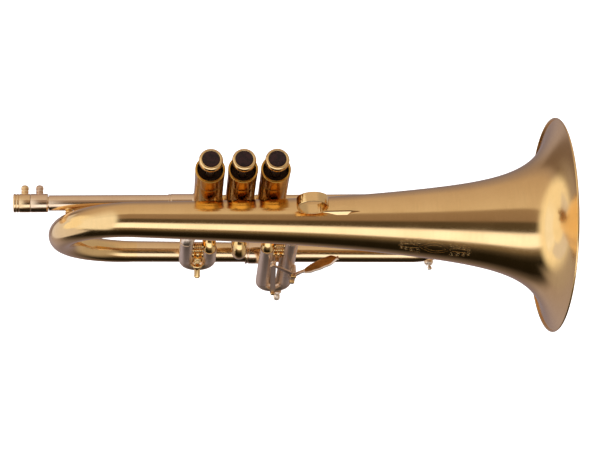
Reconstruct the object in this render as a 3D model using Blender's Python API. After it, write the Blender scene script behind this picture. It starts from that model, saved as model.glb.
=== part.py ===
"""Flugelhorn with three piston valves, a sliding mouthpipe and a trigger on the third valve slide.

Playing position: +X points out of the bell, +Z up along the valves, +Y to the player's left.
The origin is on the middle valve's axis, where the left hand holds the casings. Metres.
"""

import math

import bmesh
import bpy
from mathutils import Matrix, Vector

# ---- driving dimensions, metres ----
GAP = 0.0003
VALVE_SPACING = 0.025
VALVE_X = (-VALVE_SPACING, 0.0, VALVE_SPACING)

# bell
RIM_X = 0.2441
RIM_RADIUS = 0.0838
BELL_WALL = 0.0008
BELL_SEGMENTS = 30
BELL_STATIONS = 13
BELL_BASE = -0.0119
FLARE_LENGTH = 0.0073
FLARE_POWER = 0.345
SWELL = 0.00149
SWELL_PLACE = 0.092
SWELL_SPREAD = 0.069
BELL_Y = -0.0283
BELL_Z = 0.0060
BELL_YAW = math.radians(-0.54)
BELL_PITCH = math.radians(-1.40)
BEAD_WIDTH = 0.0026
BEAD_DEPTH = 0.0018

# large loop
BOW_X = -0.0838
BOW_RADIUS = 0.055
BOW_TILT = math.radians(10.0)
BOW_THIN_RADIUS = 0.0086
BOW_WALL = 0.0008
LOWER_END = Vector((0.147, -0.0082, -0.1095))
LOWER_THIN_RADIUS = 0.0074
BOW_LEAD = 0.002
FERRULE_X = 0.0178
FERRULE_LENGTH = 0.0138
FERRULE_WALL = 0.0014
WATER_KEY_STEP = 1
WATER_KEY_AIM = Vector((0, -0.92, -0.39))
WATER_KEY_RADIUS = 0.0038
WATER_KEY_HEIGHT = 0.0034
WATER_KEY_BORE = 0.0021
WATER_KEY_FLOOR = 0.0006
WATER_KEY_BUTTON = (0.0024, 0.0072)
BRANCH_RADIUS = 0.0064
BRANCH_Z = -0.0225

# valves
CASING_RADIUS = 0.0112
BORE_RADIUS = 0.0090
CASING_TOP = 0.0234
CASING_BOTTOM = -0.058
CAP_RADIUS = 0.0115
CAP_TOP = 0.0397
CAP_RECESS_RADIUS = 0.0092
CAP_RECESS_FLOOR = 0.0267
CAP_FLOOR = 0.003
PISTON_RADIUS = 0.0087
PISTON_WALL = 0.001
PISTON_TOP = 0.0184
PISTON_BOTTOM = -0.038
PORT_RADIUS = 0.0046
BUTTON_TOP = 0.0580
BUTTON_RADIUS = 0.0092
BUTTON_HEIGHT = 0.0100
BUTTON_EDGE = 0.0010
PEARL_RADIUS = 0.0066
PEARL_DEPTH = 0.0015
PEARL_SINK = 0.0003
STEM_RADIUS = 0.0032
CAP_EDGE = 0.0006
BOTTOM_CAP_HEIGHT = 0.0102
BOTTOM_CAP_FLOOR = 0.0015
BOTTOM_CAP_BEVEL = 0.0025
BOTTOM_CAP_INNER = 0.0070
SPIGOT = 0.003
VENT_RADIUS = 0.0020
PISTON_TRAVEL = 0.0155
FELT_HEIGHT = 0.0030
UPPER_PORT_WAY = (0.35, 1, 0)
SPRING_TURNS = 5
SPRING_RADIUS = 0.0052
SPRING_WIRE = 0.00045

# mouthpipe
PIPE_Z = -0.0215
PIPE_RADIUS = 0.0061
PIPE_INNER = 0.0051
SLIDE_PIPE_RADIUS = 0.0048
SLIDE_PIPE_INNER = 0.0042
COLLAR_RADIUS = 0.0073
RECEIVER_X = -0.1763
COLLAR_X = -0.1631
PIPE_X = -0.1492
SLEEVE_X = -0.0557
SLEEVE_RADIUS = 0.0067
SCREW_RADIUS = 0.0030
SCREW_TOP = 0.0148
SHANK_RADIUS = 0.0011
SOCKET_DEPTH = 0.016
SCREW_PLACE = 0.66
INNER_PIPE_END = -0.075
BRACE_X = -0.1333

# valve slides
LEG_RADIUS = 0.00545
LEG_INNER = 0.00475
SLIDE_RADIUS = 0.0044
SLIDE_INNER = 0.0039
LEG_SPACING = 0.0184
LEG_Y = -0.025
ELBOW_RADIUS = 0.008
HIGH_PORT_Z = -0.034
LOW_PORT_Z = -0.050
FIRST_SLIDE_X = -0.0320
FIRST_CROOK_Z = -0.0866
THIRD_SLIDE_X = 0.0327
THIRD_CROOK_Z = -0.1348
SECOND_SLIDE_Z = (-0.0354, -0.0514)
SECOND_SLIDE_TOP = 0.0125
SECOND_CROOK_Y = -0.0330
FIRST_SLIDE_TOP = 0.0590
THIRD_SLIDE_TOP = 0.0700
SLIDE_BRACE_Z = -0.0660
KNOB_AIM = Vector((0, -0.6, -0.8))
KNOB_LENGTH = 0.0090
KNOB_RADIUS = 0.0025
BRACE_BEAD = 0.0024
BRACE_WAIST = 0.0011
THIRD_KNOB_OFFSET = 0.0037

# trigger
PIVOT = Vector((0.0462, -0.0360, -0.0877))
ROD_TOP = Vector((0.0289, -0.0325, -0.0690))
ROD_BOTTOM = Vector((0.0322, -0.0325, -0.1330))
PADDLE_START = Vector((0.0556, -0.0350, -0.0795))
PADDLE_TIP = Vector((0.0796, -0.0345, -0.0536))
PADDLE_WIDTH = 0.0078
PADDLE_BOW = 0.0008
LEVER_THICKNESS = 0.0016
LEVER_HEIGHT = 0.0030
BOSS_HEIGHT = 0.0046
ROD_THICKNESS = 0.0020
EYE_RADIUS = 0.0023
STUD_RADIUS = 0.0009
POST_HEIGHT = 0.024
POST_ABOVE_PIVOT = 0.003
POST_HALF_WIDTH = 0.0021
PIN_HEAD = 0.0009

# ring
RING_X = 0.052
RING_RADIUS = 0.01225
RING_WALL = 0.0011
RING_WIDTH = 0.0080
RING_SHIFT = Vector((0, 0.0012, 0))
LEAF_LENGTH = 0.048
LEAF_BEHIND_RING = 0.010
LEAF_WIDTH = 0.0085
LEAF_THICKNESS = 0.0009

SEGMENTS = 20
TUBE_SEGMENTS = 12
BOW_SEGMENTS = 16


# ---- materials ----
def finish(name, colour, roughness, metallic=1.0):
    material = bpy.data.materials.new(name)
    material.use_nodes = True
    shader = material.node_tree.nodes["Principled BSDF"]
    shader.inputs["Base Color"].default_value = (*colour, 1.0)
    shader.inputs["Roughness"].default_value = roughness
    shader.inputs["Metallic"].default_value = metallic
    material.diffuse_color = (*colour, 1.0)
    return material


def all_finishes():
    return {
        "satin": finish("satin_gold_brass", (0.72, 0.47, 0.20), 0.32),
        "polished": finish("polished_gold_brass", (0.85, 0.58, 0.25), 0.12),
        "nickel": finish("brushed_nickel_silver", (0.58, 0.50, 0.46), 0.30),
        "steel": finish("spring_steel", (0.45, 0.45, 0.47), 0.30),
        "felt": finish("black_felt", (0.01, 0.01, 0.01), 0.95, 0.0),
        "pearl": finish("dark_pearl", (0.045, 0.02, 0.018), 0.25, 0.0),
    }


# ---- building blocks ----
def clear_scene():
    for thing in list(bpy.data.objects):
        bpy.data.objects.remove(thing, do_unlink=True)


def add_object(name, mesh_builder, material, origin=Vector()):
    """A closed smooth-shaded object from a bmesh in world coordinates, with its origin at the given point."""
    bmesh.ops.remove_doubles(mesh_builder, verts=mesh_builder.verts, dist=1e-7)
    bmesh.ops.recalc_face_normals(mesh_builder, faces=mesh_builder.faces)
    bmesh.ops.translate(mesh_builder, verts=mesh_builder.verts, vec=-origin)
    mesh = bpy.data.meshes.new(name)
    mesh_builder.to_mesh(mesh)
    mesh_builder.free()
    mesh.materials.append(material)
    mesh.shade_smooth()
    mesh.set_sharp_from_angle(angle=math.radians(35))
    thing = bpy.data.objects.new(name, mesh)
    thing.location = origin
    bpy.context.scene.collection.objects.link(thing)
    return thing


def frame_along(point, direction):
    """A matrix whose Z runs along the direction, placed at the point."""
    turn = Vector(direction).to_track_quat("Z", "Y").to_matrix().to_4x4()
    return Matrix.Translation(point) @ turn


def bridge_rings(builder, rings, loop=False):
    """Side faces between rings of vertices; a ring of one vertex is a pole."""
    pairs = list(zip(rings, rings[1:]))
    if loop:
        pairs.append((rings[-1], rings[0]))
    for low, high in pairs:
        count = max(len(low), len(high))
        for i in range(count):
            j = (i + 1) % count
            if len(low) == 1:
                builder.faces.new((low[0], high[i], high[j]))
            elif len(high) == 1:
                builder.faces.new((low[i], low[j], high[0]))
            else:
                builder.faces.new((low[i], low[j], high[j], high[i]))


def ring_at(builder, matrix, radius, height, segments):
    if radius < 1e-6:
        return [builder.verts.new(matrix @ Vector((0, 0, height)))]
    angles = [2 * math.pi * i / segments for i in range(segments)]
    return [
        builder.verts.new(matrix @ Vector((radius * math.cos(a), radius * math.sin(a), height)))
        for a in angles
    ]


def turned(name, profile, point, direction, material, segments=SEGMENTS, origin=None):
    """A turned solid: profile points are (radius, distance along the axis). A profile that starts and
    ends on the axis closes there; any other profile closes on itself round a hole."""
    matrix = frame_along(point, direction)
    builder = bmesh.new()
    rings = [ring_at(builder, matrix, radius, height, segments) for radius, height in profile]
    bridge_rings(builder, rings, loop=profile[0][0] > 1e-6)
    return add_object(name, builder, material, Vector(point) if origin is None else origin)


def tube_profile(outer, inner, length):
    return [(outer, 0), (outer, length), (inner, length), (inner, 0)]


def sweep_frames(path):
    """Frames along a path that turn no more than the path does."""
    frames = []
    normal = None
    for i, point in enumerate(path):
        before = path[max(i - 1, 0)]
        after = path[min(i + 1, len(path) - 1)]
        tangent = (after - before).normalized()
        if normal is None:
            side = Vector((0, 1, 0)) if abs(tangent.y) < 0.9 else Vector((1, 0, 0))
            normal = side
        normal = (normal - tangent * normal.dot(tangent)).normalized()
        frames.append((point, normal, tangent.cross(normal)))
    return frames


def swept(name, path, outer, inner, material, segments=TUBE_SEGMENTS, origin=Vector()):
    """A pipe along a path with an outer and an inner radius at each point; inner None makes a solid rod."""
    builder = bmesh.new()
    frames = sweep_frames(path)

    def rings_of(radii):
        rings = []
        for (point, normal, binormal), radius in zip(frames, radii):
            angles = [2 * math.pi * i / segments for i in range(segments)]
            rings.append(
                [
                    builder.verts.new(point + radius * (math.cos(a) * normal + math.sin(a) * binormal))
                    for a in angles
                ]
            )
        return rings

    outside = rings_of(outer)
    if inner is None:
        start = [builder.verts.new(path[0])]
        end = [builder.verts.new(path[-1])]
        bridge_rings(builder, [start, *outside, end])
    else:
        bridge_rings(builder, [*outside, *reversed(rings_of(inner))], loop=True)
    return add_object(name, builder, material, origin)


def arc(centre, start, turn_towards, angle, steps):
    """Points on a circle from centre + start, turning towards the second vector."""
    radius = start.length
    across = turn_towards.normalized() * radius
    return [
        centre + start * math.cos(angle * i / steps) + across * math.sin(angle * i / steps)
        for i in range(steps + 1)
    ]


def cut(target, name, point, direction, length, radius):
    """Drills a round hole from the point along the direction."""
    drill = turned(name, [(0, 0), (radius, 0), (radius, length), (0, length)], point, direction,
                   target.data.materials[0], TUBE_SEGMENTS)
    drill.hide_render = True
    drill.display_type = "WIRE"
    hole = target.modifiers.new(name, "BOOLEAN")
    hole.operation = "DIFFERENCE"
    hole.object = drill


def plate(name, outline, height, matrix, material, origin=Vector()):
    """A flat plate: outline points in the matrix's XY plane, thickened along its Z, centred."""
    builder = bmesh.new()
    low = [builder.verts.new(matrix @ Vector((x, y, -height / 2))) for x, y in outline]
    high = [builder.verts.new(matrix @ Vector((x, y, height / 2))) for x, y in outline]
    bridge_rings(builder, [low, high])
    builder.faces.new(reversed(low))
    builder.faces.new(high)
    return add_object(name, builder, material, origin)


# ---- bell and loop ----
def bell_point(x):
    """A point on the bell's axis."""
    return Vector((0, BELL_Y, BELL_Z)) + x * Vector((1, math.tan(BELL_YAW), math.tan(BELL_PITCH)))


def bell_direction():
    return (bell_point(1) - bell_point(0)).normalized()


def bell_radius(from_rim):
    """The bell's outer radius: nearly conical at the tail and opening fast at the rim."""
    flare = (FLARE_LENGTH / (from_rim + FLARE_LENGTH)) ** FLARE_POWER
    return BELL_BASE + (RIM_RADIUS - swell(0) - BELL_BASE) * flare + swell(from_rim)


def swell(from_rim):
    """How much fuller than the plain flare the bell is, most of all ahead of its throat."""
    return SWELL * math.exp(-(((from_rim - SWELL_PLACE) / SWELL_SPREAD) ** 2))


def bell_walls(from_rim):
    step = 0.0002
    slope = (bell_radius(from_rim) - bell_radius(from_rim + step)) / step
    outer = bell_radius(from_rim)
    return outer, outer - BELL_WALL * math.sqrt(1 + slope * slope)


def make_bell(finishes):
    """Flare and tail in one sheet, with a flat-fronted bead turned round its rim."""
    tail = bell_point(BOW_X)
    length = (RIM_X - BOW_X) / bell_direction().x
    neck = BEAD_DEPTH * 0.5
    stations = [neck + (length - neck) * (i / BELL_STATIONS) ** 2.2 for i in range(BELL_STATIONS + 1)]
    outer = [(bell_walls(s)[0], length - s) for s in stations]
    inner = [(bell_walls(s)[1], length - s) for s in stations]
    bead = [
        (outer[0][0], length - BEAD_DEPTH),
        (RIM_RADIUS - BEAD_WIDTH * 0.3, length - BEAD_DEPTH),
        (RIM_RADIUS, length - BEAD_DEPTH * 0.75),
        (RIM_RADIUS, length - BEAD_DEPTH * 0.25),
        (RIM_RADIUS - BEAD_WIDTH * 0.2, length),
        (RIM_RADIUS - BEAD_WIDTH, length),
        (inner[0][0], length - neck),
    ]
    profile = bead + inner[1:] + list(reversed(outer[2:]))
    turned("bell", profile, tail, bell_direction(), finishes["satin"], BELL_SEGMENTS)


def loop_direction():
    """From the bell's tail across the large loop to the lower tube."""
    return Vector((0, math.sin(BOW_TILT), -math.cos(BOW_TILT)))


def loop_end():
    return bell_point(BOW_X) + 2 * BOW_RADIUS * loop_direction()


def graded(first, last, count):
    return [first + (last - first) * i / (count - 1) for i in range(count)]


def make_back_bow(finishes):
    tail = bell_point(BOW_X) - GAP * bell_direction()
    centre = bell_point(BOW_X) + BOW_RADIUS * loop_direction()
    bend = arc(centre, -BOW_RADIUS * loop_direction(), Vector((-1, 0, 0)), math.pi, 12)
    lead = BOW_LEAD * bell_direction()
    path = [tail, tail - lead, *bend[1:-1], loop_end(), loop_end() + BOW_LEAD * lower_direction()]
    outer = graded(bell_walls(RIM_X - BOW_X)[0], BOW_THIN_RADIUS, len(path))
    inner = [radius - BOW_WALL for radius in outer]
    swept("back_bow", path, outer, inner, finishes["satin"], BOW_SEGMENTS)


def lower_direction():
    return (LOWER_END - loop_end()).normalized()


def lower_tube_point(x):
    start = loop_end()
    return start.lerp(LOWER_END, (x - start.x) / (LOWER_END.x - start.x))


def lower_tube_radius(x):
    share = (x - BOW_X) / (LOWER_END.x - BOW_X)
    return BOW_THIN_RADIUS + (LOWER_THIN_RADIUS - BOW_THIN_RADIUS) * share


def straight_tube(name, start, end, start_radius, end_radius, wall, material, segments=TUBE_SEGMENTS):
    length = (end - start).length
    profile = [(start_radius, 0), (end_radius, length), (end_radius - wall, length), (start_radius - wall, 0)]
    return turned(name, profile, start, end - start, material, segments)


def make_lower_tube(finishes):
    start_x = BOW_X + BOW_LEAD + 2 * GAP
    end_x = FERRULE_X - GAP / 2
    start = lower_tube_point(start_x)
    end = lower_tube_point(end_x)
    radii = (lower_tube_radius(start_x), lower_tube_radius(end_x))
    straight_tube("lower_tube", start, end, *radii, BOW_WALL, finishes["satin"], BOW_SEGMENTS)
    low = lower_tube_point(FERRULE_X - FERRULE_LENGTH / 2)
    high = lower_tube_point(FERRULE_X + FERRULE_LENGTH / 2)
    ferrule = lower_tube_radius(FERRULE_X) + FERRULE_WALL
    inner_wall = FERRULE_WALL - GAP - 0.0001
    straight_tube("tube_ferrule", low, high, ferrule, ferrule, inner_wall, finishes["satin"], BOW_SEGMENTS)


def front_arc():
    """The front bow's bend, from the lower tube up to the branch tube."""
    top = Vector((LOWER_END.x, 0, BRANCH_Z))
    centre = (top + LOWER_END) / 2
    return arc(centre, LOWER_END - centre, Vector((1, 0, 0)), math.pi, 10)


def make_front_bow(finishes):
    start_x = FERRULE_X + GAP / 2
    path = [lower_tube_point(start_x), *front_arc(), front_arc()[-1] - Vector((BOW_LEAD, 0, 0))]
    outer = [lower_tube_radius(start_x), *graded(LOWER_THIN_RADIUS, BRANCH_RADIUS, len(path) - 1)]
    swept("front_bow", path, outer, [radius - BOW_WALL for radius in outer], finishes["satin"])
    start = front_arc()[-1] - Vector((BOW_LEAD + GAP, 0, 0))
    end = Vector((VALVE_X[2] + CASING_RADIUS + GAP, 0, BRANCH_Z))
    straight_tube("branch_tube", start, end, BRANCH_RADIUS, PIPE_RADIUS, BOW_WALL, finishes["satin"])


def make_water_key(finishes):
    """A push-button water key low on the front bow, pointing to the player's right."""
    bend = front_arc()
    place = bend[WATER_KEY_STEP]
    tangent = (bend[WATER_KEY_STEP + 1] - bend[WATER_KEY_STEP - 1]).normalized()
    out = WATER_KEY_AIM - tangent * WATER_KEY_AIM.dot(tangent)
    out.normalize()
    base = place + out * (LOWER_THIN_RADIUS + GAP)
    rim, neck = WATER_KEY_RADIUS, WATER_KEY_RADIUS * 0.72
    top = WATER_KEY_HEIGHT
    seat = [
        (0, 0), (rim, 0), (rim, top / 2), (neck, top),
        (WATER_KEY_BORE, top), (WATER_KEY_BORE, WATER_KEY_FLOOR), (0, WATER_KEY_FLOOR),
    ]
    turned("water_key_seat", seat, base, out, finishes["nickel"], TUBE_SEGMENTS)
    foot, crown = WATER_KEY_BUTTON
    wide = WATER_KEY_BORE - GAP
    button = [(0, foot), (wide, foot), (wide, crown - wide), (wide * 0.7, crown - GAP), (0, crown)]
    turned("water_key_button", button, base, out, finishes["nickel"], TUBE_SEGMENTS)


# ---- valves ----
def make_casing(number, x, port_directions, finishes):
    axis = Vector((x, 0, CASING_BOTTOM))
    profile = tube_profile(CASING_RADIUS, BORE_RADIUS, CASING_TOP - CASING_BOTTOM)
    casing = turned(f"valve_casing_{number}", profile, axis, (0, 0, 1), finishes["satin"])
    reach = CASING_RADIUS + 0.002
    through = Vector((x - reach, 0, BRANCH_Z))
    cut(casing, f"casing_{number}_through", through, (1, 0, 0), 2 * reach, PORT_RADIUS)
    for i, (target, height) in enumerate(port_directions):
        start = Vector((x, 0, height))
        direction = Vector((target.x - x, target.y, 0))
        cut(casing, f"casing_{number}_port_{i + 1}", start, direction, reach, PORT_RADIUS)


def make_caps(number, x, finishes):
    seat = CASING_TOP + GAP
    spigot = CAP_RECESS_FLOOR - CAP_FLOOR * 2
    stem_hole = STEM_RADIUS + GAP
    top = [
        (CAP_RADIUS, seat), (CAP_RADIUS, CAP_TOP - CAP_EDGE), (CAP_RADIUS - CAP_EDGE, CAP_TOP),
        (CAP_RECESS_RADIUS, CAP_TOP), (CAP_RECESS_RADIUS, CAP_RECESS_FLOOR),
        (stem_hole, CAP_RECESS_FLOOR), (stem_hole, spigot), (PISTON_RADIUS, spigot), (PISTON_RADIUS, seat),
    ]
    turned(f"top_cap_{number}", top, (x, 0, 0), (0, 0, 1), finishes["satin"])
    high = CASING_BOTTOM - GAP
    low = CASING_BOTTOM - BOTTOM_CAP_HEIGHT
    floor = low + BOTTOM_CAP_FLOOR
    bottom = [
        (CAP_RADIUS, high), (CAP_RADIUS, low + BOTTOM_CAP_BEVEL), (CAP_RADIUS - BOTTOM_CAP_BEVEL, low),
        (VENT_RADIUS, low), (VENT_RADIUS, floor), (BOTTOM_CAP_INNER, floor), (BOTTOM_CAP_INNER, high + SPIGOT),
        (PISTON_RADIUS, high + SPIGOT), (PISTON_RADIUS, high),
    ]
    turned(f"bottom_cap_{number}", bottom, (x, 0, 0), (0, 0, 1), finishes["satin"])


def make_piston(number, x, finishes):
    stem_top = BUTTON_TOP - BUTTON_HEIGHT - GAP
    hollow = PISTON_RADIUS - PISTON_WALL
    floor = PISTON_BOTTOM + PISTON_WALL
    profile = [
        (0, PISTON_TOP - PISTON_WALL), (hollow, PISTON_TOP - PISTON_WALL), (hollow, floor), (STEM_RADIUS, floor),
        (STEM_RADIUS, PISTON_BOTTOM), (PISTON_RADIUS, PISTON_BOTTOM), (PISTON_RADIUS, PISTON_TOP),
        (STEM_RADIUS, PISTON_TOP), (STEM_RADIUS, stem_top), (0, stem_top),
    ]
    piston = turned(f"piston_{number}", profile, (x, 0, 0), (0, 0, 1), finishes["nickel"])
    reach = PISTON_RADIUS + 0.002
    cut(piston, f"piston_{number}_port", Vector((x - reach, 0, BRANCH_Z)), (1, 0, 0), 2 * reach, PORT_RADIUS)
    upper = Vector((x, -reach, BRANCH_Z + PISTON_TRAVEL))
    cut(piston, f"piston_{number}_upper_port", upper, UPPER_PORT_WAY, 2.2 * reach, PORT_RADIUS)


def make_button(number, x, finishes):
    base = BUTTON_TOP - BUTTON_HEIGHT
    inset = PEARL_RADIUS + GAP
    wide, tall = BUTTON_RADIUS, BUTTON_HEIGHT
    seat = BUTTON_TOP - PEARL_DEPTH
    profile = [
        (0, base), (wide * 0.52, base), (wide * 0.68, base + tall * 0.18), (wide * 0.92, base + tall * 0.42),
        (wide, base + tall * 0.68), (wide, BUTTON_TOP - BUTTON_EDGE), (wide - BUTTON_EDGE, BUTTON_TOP),
        (inset, BUTTON_TOP), (inset, seat), (0, seat),
    ]
    turned(f"finger_button_{number}", profile, (x, 0, 0), (0, 0, 1), finishes["polished"])
    low, high = seat + GAP, BUTTON_TOP - PEARL_SINK
    disc = [(0, low), (PEARL_RADIUS, low), (PEARL_RADIUS, high), (0, high)]
    turned(f"button_disc_{number}", disc, (x, 0, 0), (0, 0, 1), finishes["pearl"])


def make_felt(number, x, finishes):
    floor = CAP_RECESS_FLOOR + GAP
    profile = tube_profile(CAP_RECESS_RADIUS - GAP, STEM_RADIUS + 2 * GAP, FELT_HEIGHT)
    profile = [(radius, floor + height) for radius, height in profile]
    turned(f"cap_felt_{number}", profile, (x, 0, 0), (0, 0, 1), finishes["felt"])


def make_spring(number, x, finishes):
    low = CASING_BOTTOM - BOTTOM_CAP_HEIGHT + BOTTOM_CAP_FLOOR + SPRING_WIRE + GAP
    high = PISTON_BOTTOM - SPRING_WIRE - GAP
    points = SPRING_TURNS * 8
    path = []
    for i in range(points + 1):
        angle = 2 * math.pi * SPRING_TURNS * i / points
        height = low + (high - low) * i / points
        path.append(Vector((x + SPRING_RADIUS * math.cos(angle), SPRING_RADIUS * math.sin(angle), height)))
    radii = [SPRING_WIRE] * len(path)
    swept(f"piston_spring_{number}", path, radii, None, finishes["steel"], 5, Vector((x, 0, low)))


def make_valves(finishes):
    ports = [
        [(leg, height) for leg, height in zip(slide_legs(FIRST_SLIDE_X), (HIGH_PORT_Z, LOW_PORT_Z))],
        [(Vector((0, -1, 0)), height) for height in SECOND_SLIDE_Z],
        [(leg, height) for leg, height in zip(slide_legs(THIRD_SLIDE_X), (LOW_PORT_Z, HIGH_PORT_Z))],
    ]
    for number, x in enumerate(VALVE_X, start=1):
        make_casing(number, x, ports[number - 1], finishes)
        make_caps(number, x, finishes)
        make_piston(number, x, finishes)
        make_button(number, x, finishes)
        make_felt(number, x, finishes)
        make_spring(number, x, finishes)
    for number in (1, 2):
        start = Vector((VALVE_X[number - 1] + CASING_RADIUS + GAP, 0, BRANCH_Z))
        length = VALVE_SPACING - 2 * CASING_RADIUS - 2 * GAP
        profile = tube_profile(PIPE_RADIUS, PIPE_INNER, length)
        turned(f"knuckle_{number}_{number + 1}", profile, start, (1, 0, 0), finishes["satin"], TUBE_SEGMENTS)


# ---- mouthpipe ----
def pipe_at(x):
    return Vector((x, 0, PIPE_Z))


def make_screw(name, x, reach, finishes):
    """A domed thumb screw that runs into a collar from the player's left."""
    knob = COLLAR_RADIUS + GAP
    profile = [
        (0, reach), (SHANK_RADIUS, reach), (SHANK_RADIUS, knob), (SCREW_RADIUS, knob),
        (SCREW_RADIUS, SCREW_TOP - SCREW_RADIUS * 0.6), (SCREW_RADIUS * 0.72, SCREW_TOP - GAP), (0, SCREW_TOP),
    ]
    turned(name, profile, pipe_at(x), (0, 1, 0), finishes["polished"], TUBE_SEGMENTS)


def make_mouthpipe(finishes):
    straight_tube("outer_mouthpipe", pipe_at(PIPE_X), pipe_at(SLEEVE_X - GAP), PIPE_RADIUS, PIPE_RADIUS,
                  PIPE_RADIUS - PIPE_INNER, finishes["satin"])
    casing_wall = VALVE_X[0] - CASING_RADIUS - GAP
    straight_tube("mouthpipe_ferrule", pipe_at(SLEEVE_X), pipe_at(casing_wall), SLEEVE_RADIUS, SLEEVE_RADIUS,
                  SLEEVE_RADIUS - PIPE_INNER, finishes["satin"])
    length = PIPE_X - COLLAR_X - 2 * GAP
    collar = turned("lock_collar", tube_profile(COLLAR_RADIUS, PIPE_INNER, length), pipe_at(COLLAR_X + GAP),
                    (1, 0, 0), finishes["polished"], TUBE_SEGMENTS)
    screw_x = COLLAR_X + length / 2 + GAP
    cut(collar, "lock_screw_hole", pipe_at(screw_x), (0, 1, 0), SCREW_TOP, SHANK_RADIUS + GAP)
    make_screw("lock_screw", screw_x, SLIDE_PIPE_RADIUS + GAP, finishes)


def make_receiver(finishes):
    """The mouthpiece receiver and the inner mouthpipe that slides in the outer one."""
    socket = COLLAR_X - RECEIVER_X
    end = INNER_PIPE_END - RECEIVER_X
    profile = [
        (COLLAR_RADIUS, 0), (COLLAR_RADIUS, socket), (SLIDE_PIPE_RADIUS, socket), (SLIDE_PIPE_RADIUS, end),
        (SLIDE_PIPE_INNER, end), (SLIDE_PIPE_INNER, SOCKET_DEPTH), (SLIDE_PIPE_RADIUS, 0),
    ]
    receiver = turned("mouthpiece_receiver", profile, pipe_at(RECEIVER_X), (1, 0, 0), finishes["polished"],
                      TUBE_SEGMENTS)
    screw_x = RECEIVER_X + socket * SCREW_PLACE
    reach = SLIDE_PIPE_RADIUS + 2 * GAP
    start = pipe_at(screw_x) + Vector((0, reach - GAP, 0))
    cut(receiver, "receiver_screw_hole", start, (0, 1, 0), COLLAR_RADIUS, SHANK_RADIUS + GAP)
    make_screw("receiver_screw", screw_x, reach, finishes)


def make_mouthpipe_brace(finishes):
    """A short turned post from the outer mouthpipe to the large loop."""
    angle = math.asin((BOW_X - BRACE_X) / BOW_RADIUS)
    loop = bell_point(BOW_X) + BOW_RADIUS * (1 - math.cos(angle)) * loop_direction()
    loop.x = BRACE_X
    start = pipe_at(BRACE_X)
    across = loop - start
    share = angle / math.pi
    loop_radius = bell_walls(RIM_X - BOW_X)[0] * (1 - share) + BOW_THIN_RADIUS * share
    low = PIPE_RADIUS + GAP
    high = across.length - loop_radius - 2 * GAP
    middle = (low + high) / 2
    bead = SCREW_RADIUS
    profile = [(0, low), (bead * 0.8, low), (bead, middle), (bead * 0.8, high), (0, high)]
    turned("mouthpipe_brace", profile, start, across, finishes["polished"], TUBE_SEGMENTS)


# ---- valve slides ----
def slide_legs(middle_x):
    half = LEG_SPACING / 2
    return [Vector((middle_x - half, LEG_Y, 0)), Vector((middle_x + half, LEG_Y, 0))]


def leg_path(valve_x, leg, port_z, end_z):
    """Out of the casing, round an elbow and straight down."""
    valve = Vector((valve_x, 0, port_z))
    corner = Vector((leg.x, leg.y, port_z))
    away = (corner - valve).normalized()
    start = valve + away * (CASING_RADIUS + GAP)
    bend_start = corner - away * ELBOW_RADIUS
    centre = bend_start - Vector((0, 0, ELBOW_RADIUS))
    bend = arc(centre, Vector((0, 0, ELBOW_RADIUS)), away, math.pi / 2, 4)
    return [start, *bend, Vector((leg.x, leg.y, end_z))]


def make_legs(name, valve_x, middle_x, ports, end_z, finishes):
    for side, leg, port_z in zip(("rear", "front"), slide_legs(middle_x), ports):
        path = leg_path(valve_x, leg, port_z, end_z)
        count = len(path)
        swept(f"{name}_leg_{side}", path, [LEG_RADIUS] * count, [LEG_INNER] * count, finishes["nickel"])


def crook_radii(bend_points):
    """Thin where the legs slide inside, full width round the bend."""
    outer = [SLIDE_RADIUS] * 2 + [LEG_RADIUS] * bend_points + [SLIDE_RADIUS] * 2
    return outer, [SLIDE_INNER] * len(outer)


def make_crook(name, legs, down, slide_top, joint, bend_start, material):
    """A U of tube: two inner legs and the bend. slide_top, joint and bend_start are distances along down
    to the inner legs' ends, to the step up to full width and to where the bend begins."""
    first, second = legs
    centre = (first + second) / 2 + down * bend_start
    across = (first - second) / 2
    bend = arc(centre, across, down, math.pi, 8)
    path = [first + down * slide_top, first + down * (joint - 0.0001), first + down * joint, *bend]
    path += [second + down * joint, second + down * (joint - 0.0001), second + down * slide_top]
    outer, inner = crook_radii(len(bend) + 2)
    return swept(name, path, outer, inner, material)


def make_slide_brace(name, middle_x, z, finishes):
    """A turned brace with three beads between the two outer legs."""
    span = LEG_SPACING - 2 * LEG_RADIUS - 2 * GAP
    start = Vector((middle_x - span / 2, LEG_Y, z))
    waist, bead = BRACE_WAIST, BRACE_BEAD
    profile = [(0, 0), (bead, 0), (waist, span * 0.16)]
    for centre in (0.32, 0.68):
        profile += [(bead * 0.9, span * centre), (waist, span * (centre + 0.16))]
    profile += [(bead, span), (0, span)]
    turned(name, profile, start, (1, 0, 0), finishes["polished"], TUBE_SEGMENTS)


def make_knob(name, x, crook_z, material):
    """A pull knob standing off the bend, down and towards the player's right."""
    out = KNOB_AIM.normalized()
    base = Vector((x, LEG_Y, crook_z)) + out * (LEG_RADIUS + GAP)
    knob, tall = KNOB_RADIUS, KNOB_LENGTH
    profile = [
        (0, 0), (knob * 1.28, 0), (knob * 1.36, tall * 0.13), (knob * 0.88, tall * 0.27), (knob * 0.76, tall * 0.44),
        (knob, tall * 0.64), (knob, tall * 0.87), (knob * 0.64, tall), (0, tall),
    ]
    turned(name, profile, base, out, material, TUBE_SEGMENTS)


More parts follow.
